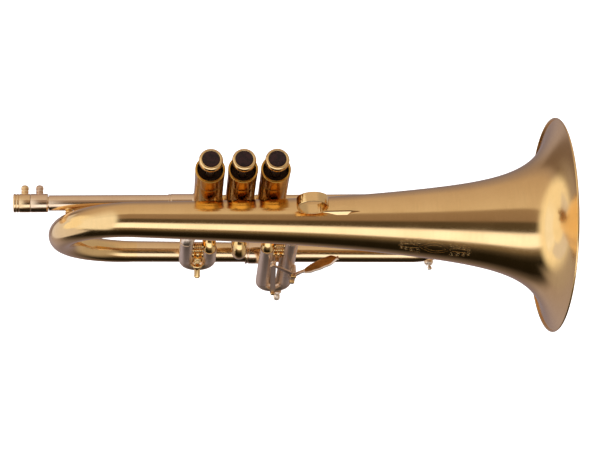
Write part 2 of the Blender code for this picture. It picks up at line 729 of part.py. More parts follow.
def make_upright_slides(finishes):
    down = Vector((0, 0, -1))
    bend_radius = LEG_SPACING / 2
    slides = (
        ("first_slide", VALVE_X[0], FIRST_SLIDE_X, (HIGH_PORT_Z, LOW_PORT_Z), FIRST_CROOK_Z, FIRST_SLIDE_TOP),
        ("third_slide", VALVE_X[2], THIRD_SLIDE_X, (LOW_PORT_Z, HIGH_PORT_Z), THIRD_CROOK_Z, THIRD_SLIDE_TOP),
    )
    for name, valve_x, middle_x, ports, crook_z, slide_top in slides:
        bend_start = -crook_z - bend_radius
        joint = bend_start - 0.001
        make_legs(name, valve_x, middle_x, ports, -joint + GAP, finishes)
        make_crook(f"{name}_crook", slide_legs(middle_x), down, slide_top, joint, bend_start, finishes["nickel"])
        make_slide_brace(f"{name}_brace", middle_x, SLIDE_BRACE_Z, finishes)
    make_knob("first_slide_knob", FIRST_SLIDE_X, FIRST_CROOK_Z, finishes["polished"])
    make_knob("third_slide_knob", THIRD_SLIDE_X + THIRD_KNOB_OFFSET, THIRD_CROOK_Z, finishes["nickel"])


def make_second_slide(finishes):
    out = Vector((0, -1, 0))
    legs = [Vector((VALVE_X[1], 0, z)) for z in SECOND_SLIDE_Z]
    bend_radius = (SECOND_SLIDE_Z[0] - SECOND_SLIDE_Z[1]) / 2
    bend_start = -SECOND_CROOK_Y - bend_radius
    joint = bend_start - 0.0005
    for place, leg in zip(("upper", "lower"), legs):
        start = leg + out * (CASING_RADIUS + GAP)
        end = leg + out * (joint - GAP)
        straight_tube(f"second_slide_tube_{place}", start, end, LEG_RADIUS, LEG_RADIUS, LEG_RADIUS - LEG_INNER,
                      finishes["polished"])
    make_crook("second_slide_crook", legs, out, SECOND_SLIDE_TOP, joint, bend_start, finishes["polished"])


# ---- trigger ----
def upright_plane(point):
    """A matrix whose X is world X and whose Y is world Z, looking along +Y."""
    return Matrix.Translation(point) @ Matrix.Rotation(math.pi / 2, 4, "X")


def rounded_end(centre_x, centre_y, radius, start_angle, end_angle, steps=8):
    return [
        (
            centre_x + radius * math.cos(start_angle + (end_angle - start_angle) * i / steps),
            centre_y + radius * math.sin(start_angle + (end_angle - start_angle) * i / steps),
        )
        for i in range(steps + 1)
    ]


def make_link_rod(finishes):
    """A flat rod with an eye at each end. It turns on the stud at its lower eye."""
    along = ROD_TOP - ROD_BOTTOM
    length = along.length
    lean = math.atan2(along.x, along.z)
    quarter = math.pi / 2
    outline = rounded_end(0, length, EYE_RADIUS, -0.6, 2 * quarter + 0.6)
    outline += rounded_end(0, 0, EYE_RADIUS, 2 * quarter - 0.6, 4 * quarter + 0.6)
    matrix = upright_plane(ROD_BOTTOM) @ Matrix.Rotation(-lean, 4, "Z")
    rod = plate("link_rod", outline, ROD_THICKNESS, matrix, finishes["nickel"], ROD_BOTTOM)
    start = ROD_BOTTOM - Vector((0, ROD_THICKNESS, 0))
    cut(rod, "link_rod_eye", start, (0, 1, 0), 2 * ROD_THICKNESS, STUD_RADIUS + GAP)


def add_rod_stud(finishes):
    """The stud on the third slide's bend that carries the link rod's lower eye."""
    crook = bpy.data.objects["third_slide_crook"]
    root = LEG_Y - LEG_RADIUS + PIN_HEAD
    shoulder = root - (ROD_BOTTOM.y + ROD_THICKNESS / 2 + GAP)
    front = root - (ROD_BOTTOM.y - ROD_THICKNESS / 2 - GAP)
    wide = 2 * STUD_RADIUS
    profile = [
        (0, 0), (wide, 0), (wide, shoulder), (STUD_RADIUS, shoulder), (STUD_RADIUS, front),
        (wide, front), (wide, front + PIN_HEAD), (0, front + PIN_HEAD),
    ]
    stud = turned("rod_stud", profile, (ROD_BOTTOM.x, root, ROD_BOTTOM.z), (0, -1, 0), finishes["nickel"],
                  TUBE_SEGMENTS)
    stud.hide_render = True
    stud.display_type = "WIRE"
    join = crook.modifiers.new("rod_stud", "BOOLEAN")
    join.operation = "UNION"
    join.object = stud


def bar(name, path, widths, heights, material, origin):
    """A bar of rectangular section along a path in an upright plane: width along Y, height across the path."""
    builder = bmesh.new()
    rings = []
    for i, point in enumerate(path):
        tangent = (path[min(i + 1, len(path) - 1)] - path[max(i - 1, 0)]).normalized()
        across = Vector((0, 1, 0))
        upward = tangent.cross(across).normalized()
        side = across * widths[i] / 2
        rise = upward * heights[i] / 2
        corners = (point - side - rise, point + side - rise, point + side + rise, point - side + rise)
        rings.append([builder.verts.new(corner) for corner in corners])
    bridge_rings(builder, rings)
    builder.faces.new(reversed(rings[0]))
    builder.faces.new(rings[-1])
    return add_object(name, builder, material, origin)


def make_lever(finishes):
    """Arm from the rod's top eye to the pivot, then the neck and the wide finger paddle."""
    arm_end = Vector((ROD_TOP.x, PIVOT.y, ROD_TOP.z))
    toward = (arm_end - PIVOT).normalized()
    middle = PADDLE_START.lerp(PADDLE_TIP, 0.45) + Vector((-PADDLE_BOW, 0, PADDLE_BOW))
    path = [
        arm_end + toward * EYE_RADIUS, arm_end.lerp(PIVOT, 0.5), PIVOT + toward * BOSS_HEIGHT, PIVOT,
        PIVOT.lerp(PADDLE_START, 0.55), PADDLE_START, middle, PADDLE_TIP,
    ]
    widths = [LEVER_THICKNESS] * 5 + [PADDLE_WIDTH * 0.45, PADDLE_WIDTH * 0.9, PADDLE_WIDTH]
    heights = [share * LEVER_HEIGHT for share in (1.2, 0.93, 1.3)]
    heights += [BOSS_HEIGHT]
    heights += [share * LEVER_HEIGHT for share in (1.0, 0.73, 0.53, 0.47)]
    lever = bar("trigger_lever", path, widths, heights, finishes["nickel"], PIVOT)
    start = PIVOT - Vector((0, LEVER_THICKNESS, 0))
    cut(lever, "lever_hole", start, (0, 1, 0), 2 * LEVER_THICKNESS, SHANK_RADIUS + GAP)


def make_trigger_post(finishes):
    """The block on the third slide's front leg that carries the lever, and its pivot screw."""
    leg = slide_legs(THIRD_SLIDE_X)[1]
    clear = LEG_RADIUS + 2 * GAP
    back = rounded_end(leg.x, leg.y, clear, math.radians(-24), math.radians(-68), 4)
    front_y = PIVOT.y + LEVER_THICKNESS / 2 + GAP
    left, right = PIVOT.x - POST_HALF_WIDTH, PIVOT.x + POST_HALF_WIDTH
    outline = [*back, (left, front_y), (right, front_y), (right, back[0][1])]
    middle_z = PIVOT.z - POST_HEIGHT / 2 + POST_ABOVE_PIVOT
    post = plate("trigger_post", outline, POST_HEIGHT, Matrix.Translation((0, 0, middle_z)), finishes["nickel"])
    depth = 2 * POST_HALF_WIDTH
    bottom = Vector((PIVOT.x, front_y + depth, PIVOT.z))
    cut(post, "post_hole", bottom, (0, -1, 0), 1.5 * depth, SHANK_RADIUS + GAP)
    head = PIVOT.y - LEVER_THICKNESS / 2 - GAP
    reach = head - (front_y + depth - 2 * GAP)
    wide, tall = 2 * SHANK_RADIUS, 1.5 * PIN_HEAD
    profile = [
        (0, reach), (SHANK_RADIUS, reach), (SHANK_RADIUS, 0), (wide, 0), (wide, tall * 0.7), (wide * 0.7, tall),
        (0, tall),
    ]
    turned("pivot_screw", profile, (PIVOT.x, head, PIVOT.z), (0, -1, 0), finishes["polished"], TUBE_SEGMENTS)


# ---- finger ring ----
def bell_top(x):
    return bell_point(x) + Vector((0, 0, bell_radius(RIM_X - x)))


def make_finger_ring(finishes):
    """The little-finger ring and the leaf-shaped foot that holds it to the top of the bell."""
    rear = bell_top(RING_X - LEAF_BEHIND_RING)
    tip = bell_top(RING_X + LEAF_LENGTH - LEAF_BEHIND_RING)
    lift = Vector((0, 0, GAP + LEAF_THICKNESS / 2))
    along = (tip - rear).normalized()
    across = Vector((0, 0, 1)).cross(along).normalized()
    turn = Matrix((along, across, along.cross(across))).transposed().to_4x4()
    steps = 12
    edge = [
        (LEAF_LENGTH * i / steps, LEAF_WIDTH / 2 * math.sin(math.pi * (i / steps) ** 0.7) ** 0.8)
        for i in range(1, steps)
    ]
    outline = [(0, 0), *[(x, -y) for x, y in edge], (LEAF_LENGTH, 0), *reversed(edge)]
    plate("ring_leaf", outline, LEAF_THICKNESS, Matrix.Translation(rear + lift) @ turn, finishes["satin"])
    seat = rear.lerp(tip, LEAF_BEHIND_RING / LEAF_LENGTH) + lift * 2
    centre = seat + RING_SHIFT + Vector((0, 0, RING_RADIUS + GAP))
    start = centre - Vector((0, RING_WIDTH / 2, 0))
    profile = tube_profile(RING_RADIUS, RING_RADIUS - RING_WALL, RING_WIDTH)
    turned("finger_ring", profile, start, (0, 1, 0), finishes["satin"], BOW_SEGMENTS + 4)


def main():
    clear_scene()
    finishes = all_finishes()
    make_bell(finishes)
    make_back_bow(finishes)
    make_lower_tube(finishes)
    make_front_bow(finishes)
    make_water_key(finishes)
    make_valves(finishes)
    make_mouthpipe(finishes)
    make_receiver(finishes)
    make_mouthpipe_brace(finishes)
    make_upright_slides(finishes)
    make_second_slide(finishes)
    make_link_rod(finishes)
    add_rod_stud(finishes)
    make_lever(finishes)
    make_trigger_post(finishes)
    make_finger_ring(finishes)


main()
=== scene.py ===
import math

import bmesh
import bpy
from mathutils import Matrix, Vector


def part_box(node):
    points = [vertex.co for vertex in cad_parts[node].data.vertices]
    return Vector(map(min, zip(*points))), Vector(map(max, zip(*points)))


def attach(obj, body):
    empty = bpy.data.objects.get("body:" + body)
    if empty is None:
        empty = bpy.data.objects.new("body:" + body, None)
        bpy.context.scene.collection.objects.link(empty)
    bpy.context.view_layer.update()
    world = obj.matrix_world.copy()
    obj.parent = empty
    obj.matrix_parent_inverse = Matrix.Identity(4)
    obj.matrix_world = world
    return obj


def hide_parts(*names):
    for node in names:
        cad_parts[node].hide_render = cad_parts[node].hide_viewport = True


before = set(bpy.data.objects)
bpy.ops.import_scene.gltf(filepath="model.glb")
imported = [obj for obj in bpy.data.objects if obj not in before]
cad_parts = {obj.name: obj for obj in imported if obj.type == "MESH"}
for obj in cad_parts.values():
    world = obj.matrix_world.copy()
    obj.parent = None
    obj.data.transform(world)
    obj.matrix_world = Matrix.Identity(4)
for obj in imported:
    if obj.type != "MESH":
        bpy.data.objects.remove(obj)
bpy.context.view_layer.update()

# The horn's own dimensions, as in the CAD source, in metres.
VALVE_SPACING = 0.025
VALVE_X = (-VALVE_SPACING, 0.0, VALVE_SPACING)
RIM_X, RIM_RADIUS = 0.2441, 0.0838
BELL_BASE, FLARE_LENGTH, FLARE_POWER = -0.0119, 0.0073, 0.345
SWELL, SWELL_PLACE, SWELL_SPREAD = 0.00149, 0.092, 0.069
BELL_Y, BELL_Z = -0.0283, 0.0060
BELL_YAW, BELL_PITCH = math.radians(-0.54), math.radians(-1.40)
BOW_X, BOW_RADIUS, BOW_TILT = -0.0838, 0.055, math.radians(10.0)
BOW_THIN, LOWER_THIN = 0.0086, 0.0074
LOWER_END = Vector((0.147, -0.0082, -0.1095))
FERRULE_X, FERRULE_LENGTH = 0.0178, 0.0138
BRANCH_Z, BRANCH_RADIUS, PIPE_Z, PIPE_RADIUS = -0.0225, 0.0064, -0.0215, 0.0061
CASING_RADIUS, BORE_RADIUS, CASING_TOP, CASING_BOTTOM = 0.0112, 0.0090, 0.0234, -0.058
PISTON_RADIUS, COLLAR_RADIUS, SLEEVE_RADIUS = 0.0087, 0.0073, 0.0067
CAP_RADIUS, CAP_TOP, RECESS_FLOOR = 0.0115, 0.0397, 0.0267
BUTTON_TOP, BUTTON_RADIUS, PEARL_RADIUS, STEM_RADIUS = 0.0580, 0.0092, 0.0066, 0.0032
LEG_RADIUS, LEG_SPACING, LEG_Y, ELBOW_RADIUS = 0.0057, 0.0184, -0.025, 0.008
HIGH_PORT_Z, LOW_PORT_Z, RECEIVER_END = -0.034, -0.050, -0.1763
FIRST_X, FIRST_CROOK_Z, THIRD_X, THIRD_CROOK_Z = -0.0320, -0.0866, 0.0327, -0.1348
SECOND_Z, SECOND_CROOK_Y = (-0.0354, -0.0514), -0.0330
PIVOT = Vector((0.0462, -0.0360, -0.0877))
ROD_TOP = Vector((0.0289, -0.0325, -0.0690))
ROD_BOTTOM = Vector((0.0322, -0.0325, -0.1330))
RING_X, RING_RADIUS, RING_WALL, RING_WIDTH = 0.052, 0.01225, 0.0011, 0.0080
SCROLL_X, SCROLL_TURN = 0.147, math.radians(67)
X, Y, Z = Vector((1, 0, 0)), Vector((0, 1, 0)), Vector((0, 0, 1))


# ---- materials ----
class Nodes:
    """A node tree, built one node at a time."""

    def grow(self, tree):
        self.nodes, self.links = tree.nodes, tree.links

    def fill(self, node, inputs):
        """Each socket is linked to an output, or holds its own number."""
        for key, value in dict(inputs).items():
            if hasattr(value, "is_output"):
                self.links.new(value, node.inputs[key])
            else:
                node.inputs[key].default_value = value

    def add(self, kind, inputs=(), **settings):
        node = self.nodes.new(kind)
        for key, value in settings.items():
            setattr(node, key, value)
        self.fill(node, inputs)
        return node


class Tree(Nodes):
    """A material's node tree."""

    def __init__(self, name):
        self.material = bpy.data.materials.new(name)
        self.material.use_nodes = True
        self.grow(self.material.node_tree)
        self.shader = self.nodes["Principled BSDF"]

    def surface(self, inputs):
        self.fill(self.shader, inputs)
        return self.material

    def ranged(self, value, low, high, start=0.35, end=0.65):
        node = self.add("ShaderNodeMapRange", {"Value": value, "From Min": start, "From Max": end,
                                               "To Min": low, "To Max": high})
        return node.outputs["Result"]

    def noise(self, vector, scale, detail=3.0, roughness=0.5, stretch=(1, 1, 1)):
        moved = self.add("ShaderNodeMapping", {"Vector": vector, "Scale": stretch})
        node = self.add("ShaderNodeTexNoise", {"Vector": moved.outputs["Vector"], "Scale": scale,
                                               "Detail": detail, "Roughness": roughness})
        return node.outputs["Fac"]

    def blend(self, factor, first, second, mode="MIX"):
        node = self.add("ShaderNodeMix", data_type="RGBA", blend_type=mode)
        for key, value in (("Factor", factor), ("A", first), ("B", second)):
            wanted = "VALUE" if key == "Factor" else "RGBA"
            socket = next(s for s in node.inputs if s.name == key and s.type == wanted)
            if hasattr(value, "is_output"):
                self.links.new(value, socket)
            else:
                socket.default_value = value if key == "Factor" else (*value, 1)
        return next(s for s in node.outputs if s.type == "RGBA")


def metal(name, colour, tarnish, roughness, spread, brush, bump, coat=0.0):
    """Brushed metal: streaks that follow the piece, soft tarnish and small handling marks."""
    tree = Tree(name)
    grain = tree.add("ShaderNodeAttribute", attribute_name="grain").outputs["Vector"]
    place = tree.add("ShaderNodeTexCoord").outputs["Object"]
    streaks = tree.noise(grain, 1.0, 4.0, 0.7, (60, 60, brush))
    cloud = tree.noise(place, 38.0, 4.0, 0.6)
    marks = tree.noise(place, 900.0, 2.0, 0.5)
    tint = tree.blend(tree.ranged(cloud, 0.0, 0.55), colour, tarnish)
    tint = tree.blend(tree.ranged(streaks, 0.0, 0.05), tint, (0.02, 0.01, 0.0))
    worn = tree.ranged(streaks, roughness - spread, roughness + spread)
    uneven = tree.add("ShaderNodeMath", {0: worn, 1: tree.ranged(cloud, -0.02, 0.03)}, operation="ADD")
    height = tree.add("ShaderNodeMath", {0: streaks, 1: tree.ranged(marks, 0.0, 0.25)}, operation="ADD")
    relief = tree.add("ShaderNodeBump", {"Strength": bump, "Distance": 0.00002, "Height": height.outputs[0]})
    return tree.surface({
        "Base Color": tint, "Roughness": uneven.outputs[0], "Normal": relief.outputs["Normal"],
        "Metallic": 1.0, "Coat Weight": coat, "Coat Roughness": 0.12,
    })


def felt_material():
    tree = Tree("black_felt")
    place = tree.add("ShaderNodeTexCoord").outputs["Object"]
    fibres = tree.noise(place, 1500.0, 4.0, 0.7)
    tint = tree.blend(tree.ranged(fibres, 0.0, 1.0), (0.012, 0.005, 0.002), (0.035, 0.014, 0.005))
    relief = tree.add("ShaderNodeBump", {"Strength": 0.8, "Distance": 0.0002, "Height": fibres})
    rough = tree.ranged(fibres, 0.85, 1.0)
    return tree.surface({"Base Color": tint, "Normal": relief.outputs["Normal"], "Roughness": rough})


def pearl_material():
    tree = Tree("dark_pearl")
    place = tree.add("ShaderNodeTexCoord").outputs["Object"]
    swirl = tree.noise(place, 260.0, 4.0, 0.6)
    tint = tree.blend(tree.ranged(swirl, 0.0, 1.0), (0.014, 0.005, 0.005), (0.046, 0.014, 0.013))
    rough = tree.ranged(swirl, 0.22, 0.34)
    return tree.surface({"Base Color": tint, "Roughness": rough, "Specular IOR Level": 0.3})


GOLD, GOLD_TARNISH = (0.92, 0.63, 0.28), (0.84, 0.55, 0.23)
satin = metal("satin_gold_brass", GOLD, GOLD_TARNISH, 0.145, 0.025, 2600, 0.10, 0.15)
tube_satin = metal("satin_tube_brass", (0.90, 0.64, 0.33), (0.80, 0.54, 0.27), 0.15, 0.03, 2600, 0.10, 0.1)
polished = metal("polished_gold_brass", (0.93, 0.64, 0.27), (0.84, 0.52, 0.18), 0.08, 0.03, 1500, 0.10, 0.2)
nickel = metal("brushed_nickel_silver", (0.98, 0.80, 0.60), (0.88, 0.68, 0.48), 0.32, 0.05, 2200, 0.2)
# Painted shade: the casings and top caps are the same gold brass, darkened to a deeper orange here for the
# light passed back and forth between the casings and the bell.
shaded_casing_gold = metal("casing_gold_painted_shade", (0.66, 0.37, 0.07), (0.52, 0.26, 0.04), 0.18, 0.04, 2400, 0.12, 0.2)
pipe_satin = metal("rose_pipe_brass", (0.90, 0.67, 0.43), (0.80, 0.57, 0.35), 0.13, 0.03, 2600, 0.10, 0.1)
lever_brass = metal("worn_lever_brass", (0.80, 0.58, 0.40), (0.64, 0.43, 0.28), 0.18, 0.05, 1500, 0.15, 0.1)
# Painted reflection: this dark brown stands in for the bell's underside mirrored in the paddle's face; it is
# not the paddle's own metal colour.
paddle_bell_reflection = metal("paddle_painted_bell_reflection", (0.50, 0.22, 0.05), (0.38, 0.16, 0.03), 0.22, 0.05, 1500, 0.15, 0.1)
steel = metal("spring_steel", (0.50, 0.50, 0.52), (0.40, 0.38, 0.36), 0.25, 0.06, 900, 0.2)
# Real black felt for the cap pads, and also the painted shade of the lock screw's slot.
felt_and_slot_shade = felt_material()
pearl = pearl_material()


# ---- mesh building ----
def mesh_object(name, builder, material):
    mesh = bpy.data.meshes.new(name)
    builder.to_mesh(mesh)
    builder.free()
    mesh.materials.append(material)
    thing = bpy.data.objects.new(name, mesh)
    bpy.context.scene.collection.objects.link(thing)
    return thing


def add_piece(name, builder, material, body, nodes=(), sharp=38):
    bmesh.ops.recalc_face_normals(builder, faces=builder.faces)
    thing = mesh_object(name, builder, material)
    thing.data.shade_smooth()
    thing.data.set_sharp_from_angle(angle=math.radians(sharp))
    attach(thing, body)
    if nodes:
        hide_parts(*nodes)
    return thing


def bridge(builder, rings, loop=False):
    """Faces between neighbouring rings; a ring of one point closes to a tip."""
    pairs = list(zip(rings, rings[1:]))
    if loop:
        pairs.append((rings[-1], rings[0]))
    for low, high in pairs:
        count = max(len(low), len(high))
        for i in range(count):
            j = (i + 1) % count
            if len(low) == 1:
                builder.faces.new((low[0], high[i], high[j]))
            elif len(high) == 1:
                builder.faces.new((low[i], low[j], high[0]))
            else:
                builder.faces.new((low[i], low[j], high[j], high[i]))


def rounded(profile, bevel, closed, steps=4):
    """The profile with its corners rounded, so that edges catch the light."""
    if bevel <= 0:
        return profile
    made = []
    count = len(profile)
    for i, point in enumerate(profile):
        here = Vector(point)
        before = Vector(profile[i - 1]) - here
        after = Vector(profile[(i + 1) % count]) - here
        end = not closed and i in (0, count - 1)
        if end or before.length < 1e-7 or after.length < 1e-7 or before.angle(after) > math.radians(168):
            made.append(point)
            continue
        reach = min(bevel, before.length * 0.45, after.length * 0.45)
        start = here + before.normalized() * reach
        stop = here + after.normalized() * reach
        for k in range(steps + 1):
            t = k / steps
            made.append(tuple((1 - t) ** 2 * start + 2 * t * (1 - t) * here + t * t * stop))
    return made


def lathe(name, profile, point, direction, material, body, nodes=(), segments=72, bevel=0.0002,
          wobble=None):
    """A turned piece: (radius, distance along) points. wobble scales the radius, for knurls."""
    closed = profile[0][0] > 1e-6
    profile = rounded(profile, bevel, closed)
    matrix = Matrix.Translation(point) @ Vector(direction).to_track_quat("Z", "Y").to_matrix().to_4x4()
    builder = bmesh.new()
    grain = builder.verts.layers.float_vector.new("grain")
    rings = []
    for radius, height in profile:
        count = segments if radius > 1e-6 else 1
        ring = []
        for i in range(count):
            angle = 2 * math.pi * i / segments
            reach = radius * (wobble(angle, radius, height) if wobble else 1)
            local = Vector((reach * math.cos(angle), reach * math.sin(angle), height))
            vert = builder.verts.new(matrix @ local)
            vert[grain] = local
            ring.append(vert)
        rings.append(ring)
    bridge(builder, rings, loop=closed)
    return add_piece(name, builder, material, body, nodes)


def frames_along(path):
    """Each point with two directions across the path and one along it."""
    frames = []
    normal = None
    for i, point in enumerate(path):
        tangent = (path[min(i + 1, len(path) - 1)] - path[max(i - 1, 0)]).normalized()
        if normal is None:
            normal = Y if abs(tangent.y) < 0.9 else X
        normal = (normal - tangent * normal.dot(tangent)).normalized()
        frames.append((point, normal, tangent.cross(normal), tangent))
    return frames


def sweep(name, path, radii, material, body, nodes=(), segments=40, along=False):
    """A round bar or tube skin along a path, with flat closed ends. Streaks run round it, or along it."""
    builder = bmesh.new()
    grain = builder.verts.layers.float_vector.new("grain")
    rings = []
    run = 0.0
    frames = frames_along(path)
    for i, ((point, normal, binormal, _), radius) in enumerate(zip(frames, radii)):
        run += (point - path[i - 1]).length if i else 0.0
        ring = []
        for k in range(segments):
            angle = 2 * math.pi * k / segments
            local = Vector((radius * math.cos(angle), radius * math.sin(angle), run))
            vert = builder.verts.new(point + local.x * normal + local.y * binormal)
            vert[grain] = Vector((local.z, local.z, local.x * 0.7)) if along else local
            ring.append(vert)
        rings.append(ring)
    tips = [builder.verts.new(path[0]), builder.verts.new(path[-1])]
    for tip, value in zip(tips, (0.0, run)):
        tip[grain] = Vector((0, 0, value))
    bridge(builder, [[tips[0]], *rings, [tips[1]]])
    return add_piece(name, builder, material, body, nodes)


def arc(centre, start, turn, angle, steps):
    across = turn.normalized() * start.length
    return [
        centre + start * math.cos(angle * i / steps) + across * math.sin(angle * i / steps)
        for i in range(steps + 1)
    ]


def graded(first, last, count):
    return [first + (last - first) * i / (count - 1) for i in range(count)]


def slab(name, outline, thickness, matrix, material, body, nodes=(), bevel=0.0003):
    """A plate with rounded edges."""
    builder = bmesh.new()
    low = [builder.verts.new((x, y, -thickness / 2)) for x, y in outline]
    high = [builder.verts.new((x, y, thickness / 2)) for x, y in outline]
    bridge(builder, [low, high])
    builder.faces.new(reversed(low))
    builder.faces.new(high)
    rim = [e for e in builder.edges if abs(e.verts[0].co.z - e.verts[1].co.z) < 1e-9]
    bmesh.ops.bevel(builder, geom=rim, offset=bevel, segments=3, profile=0.5, affect="EDGES")
    grain = builder.verts.layers.float_vector.new("grain")
    for vert in builder.verts:
        vert[grain] = Vector((vert.co.x, vert.co.z, vert.co.y * 0.6))
        vert.co = matrix @ vert.co
    return add_piece(name, builder, material, body, nodes)


# ---- bell and loop ----
def bell_point(x):
    return Vector((0, BELL_Y, BELL_Z)) + x * Vector((1, math.tan(BELL_YAW), math.tan(BELL_PITCH)))


BELL_WAY = (bell_point(1) - bell_point(0)).normalized()
BELL_LENGTH = (RIM_X - BOW_X) / BELL_WAY.x
LOOP_WAY = Vector((0, math.sin(BOW_TILT), -math.cos(BOW_TILT)))
LOOP_END = bell_point(BOW_X) + 2 * BOW_RADIUS * LOOP_WAY


def fullness(from_rim):
    """How much fuller than a plain flare the bell is."""
    return SWELL * math.exp(-(((from_rim - SWELL_PLACE) / SWELL_SPREAD) ** 2))


def bell_radius(from_rim):
    flare = (FLARE_LENGTH / (from_rim + FLARE_LENGTH)) ** FLARE_POWER
    return BELL_BASE + (RIM_RADIUS - fullness(0) - BELL_BASE) * flare + fullness(from_rim)


def make_bell():
    bead, wall, near = 0.0008, 0.0006, 0.0006
    count = 150
    spots = [near + (BELL_LENGTH - near) * (i / count) ** 2.4 for i in range(count + 1)]
    outer, inner = [], []
    for spot in spots:
        slope = (bell_radius(spot) - bell_radius(spot + 0.0002)) / 0.0002
        outer.append((bell_radius(spot), BELL_LENGTH - spot))
        inner.append((bell_radius(spot) - wall * math.sqrt(1 + slope * slope), BELL_LENGTH - spot))
    centre = (RIM_RADIUS - bead, BELL_LENGTH - bead)
    roll = [
        (centre[0] + bead * math.cos(a), centre[1] + bead * math.sin(a))
        for a in (math.radians(-205 + 300 * i / 30) for i in range(31))
    ]
    profile = roll + inner + list(reversed(outer))
    lathe("bell_flare_and_tail", profile, bell_point(BOW_X), BELL_WAY, satin, "horn", ["bell"], 176, 0)


def lower_point(x):
    return LOOP_END.lerp(LOWER_END, (x - LOOP_END.x) / (LOWER_END.x - LOOP_END.x))


def lower_radius(x):
    return BOW_THIN + (LOWER_THIN - BOW_THIN) * (x - BOW_X) / (LOWER_END.x - BOW_X)


def make_loop():
    centre = bell_point(BOW_X) + BOW_RADIUS * LOOP_WAY
    bend = arc(centre, -BOW_RADIUS * LOOP_WAY, -X, math.pi, 72)
    tail_radius = bell_radius(RIM_X - BOW_X)
    path = [bell_point(BOW_X) + 0.0004 * BELL_WAY, *bend, lower_point(BOW_X + 0.003)]
    radii = [tail_radius, *graded(tail_radius, BOW_THIN, len(bend)), BOW_THIN]
    sweep("large_loop", path, radii, satin, "horn", ["back_bow"], 72)
    span = [lower_point(BOW_X + 0.003 + i * 0.0095) for i in range(11)]
    sweep("lower_tube_skin", span, [lower_radius(p.x) for p in span], tube_satin, "horn", ["lower_tube"], 56)
    extra = 0.0024
    start = lower_point(FERRULE_X - FERRULE_LENGTH / 2 - extra)
    wide = lower_radius(FERRULE_X)
    bead, long = 0.0015, FERRULE_LENGTH + extra
    profile = [
        (wide, 0), (wide + bead, 0), (wide + bead, 0.0011), (wide + bead * 0.55, 0.0014),
        (wide + bead * 0.55, 0.0021),
        (wide + bead * 0.9, 0.0025), (wide + bead * 0.9, long - 0.0025), (wide + bead * 0.55, long - 0.0021),
        (wide + bead * 0.55, long - 0.0014), (wide + bead, long - 0.0011), (wide + bead, long), (wide, long),
    ]
    lathe("tube_ferrule_sleeve", profile, start, LOWER_END - LOOP_END, pipe_satin, "horn", ["tube_ferrule"],
        64)
    top = Vector((LOWER_END.x, 0, BRANCH_Z))
    middle = (top + LOWER_END) / 2
    bend = arc(middle, LOWER_END - middle, X, math.pi, 60)
    lead = [lower_point(FERRULE_X + i * (LOWER_END.x - FERRULE_X) / 8) for i in range(8)]
    path = [*lead, *bend, top - X * 0.003]
    radii = [*(lower_radius(p.x) for p in lead), *graded(LOWER_THIN, BRANCH_RADIUS, len(bend) + 1)]
    sweep("front_loop", path, radii, tube_satin, "horn", ["front_bow"], 56)
    end = VALVE_X[2] + CASING_RADIUS - 0.0004
    span = [top - X * (0.003 + i * (top.x - 0.003 - end) / 8) for i in range(9)]
    sweep("branch_tube_skin", span, graded(BRANCH_RADIUS, PIPE_RADIUS, 9), tube_satin, "horn",
        ["branch_tube"], 48)
    return bend


def make_water_key(bend):
    """A push-button key: a seat ring and the button inside it."""
    place = bend[6]
    tangent = (bend[12] - bend[0]).normalized()
    aim = Vector((0, -0.92, -0.39))
    out = (aim - tangent * aim.dot(tangent)).normalized()
    base = place + out * LOWER_THIN
    seat = [
        (0, -0.0012), (0.0036, -0.0012), (0.0038, 0.0003), (0.0038, 0.0016), (0.0034, 0.0022),
        (0.0029, 0.0025),
        (0.0029, 0.0036), (0.0021, 0.0036), (0.0021, 0.0008), (0, 0.0008),
    ]
    lathe("water_key_seat_ring", seat, base, out, nickel, "horn", ["water_key_seat"], 48, 0.0002)
    button = [(0, 0.0030), (0.0012, 0.0030), (0.0012, 0.0046), (0.0018, 0.0049), (0.0018, 0.0069),
        (0.0012, 0.0074),
              (0, 0.0075)]
    lathe("water_key_plunger", button, base, out, nickel, "water_key", ["water_key_button"], 40, 0.0002)


# ---- valves ----
def knurl(count, depth, low=0.0, high=1.0, least=0.0):
    """A wobble that cuts flutes into radii above least between two heights."""
    def scale(angle, radius, height):
        if radius < least or not low <= height <= high:
            return 1.0
        return 1.0 - depth * (0.5 + 0.5 * math.cos(count * angle))
    return scale


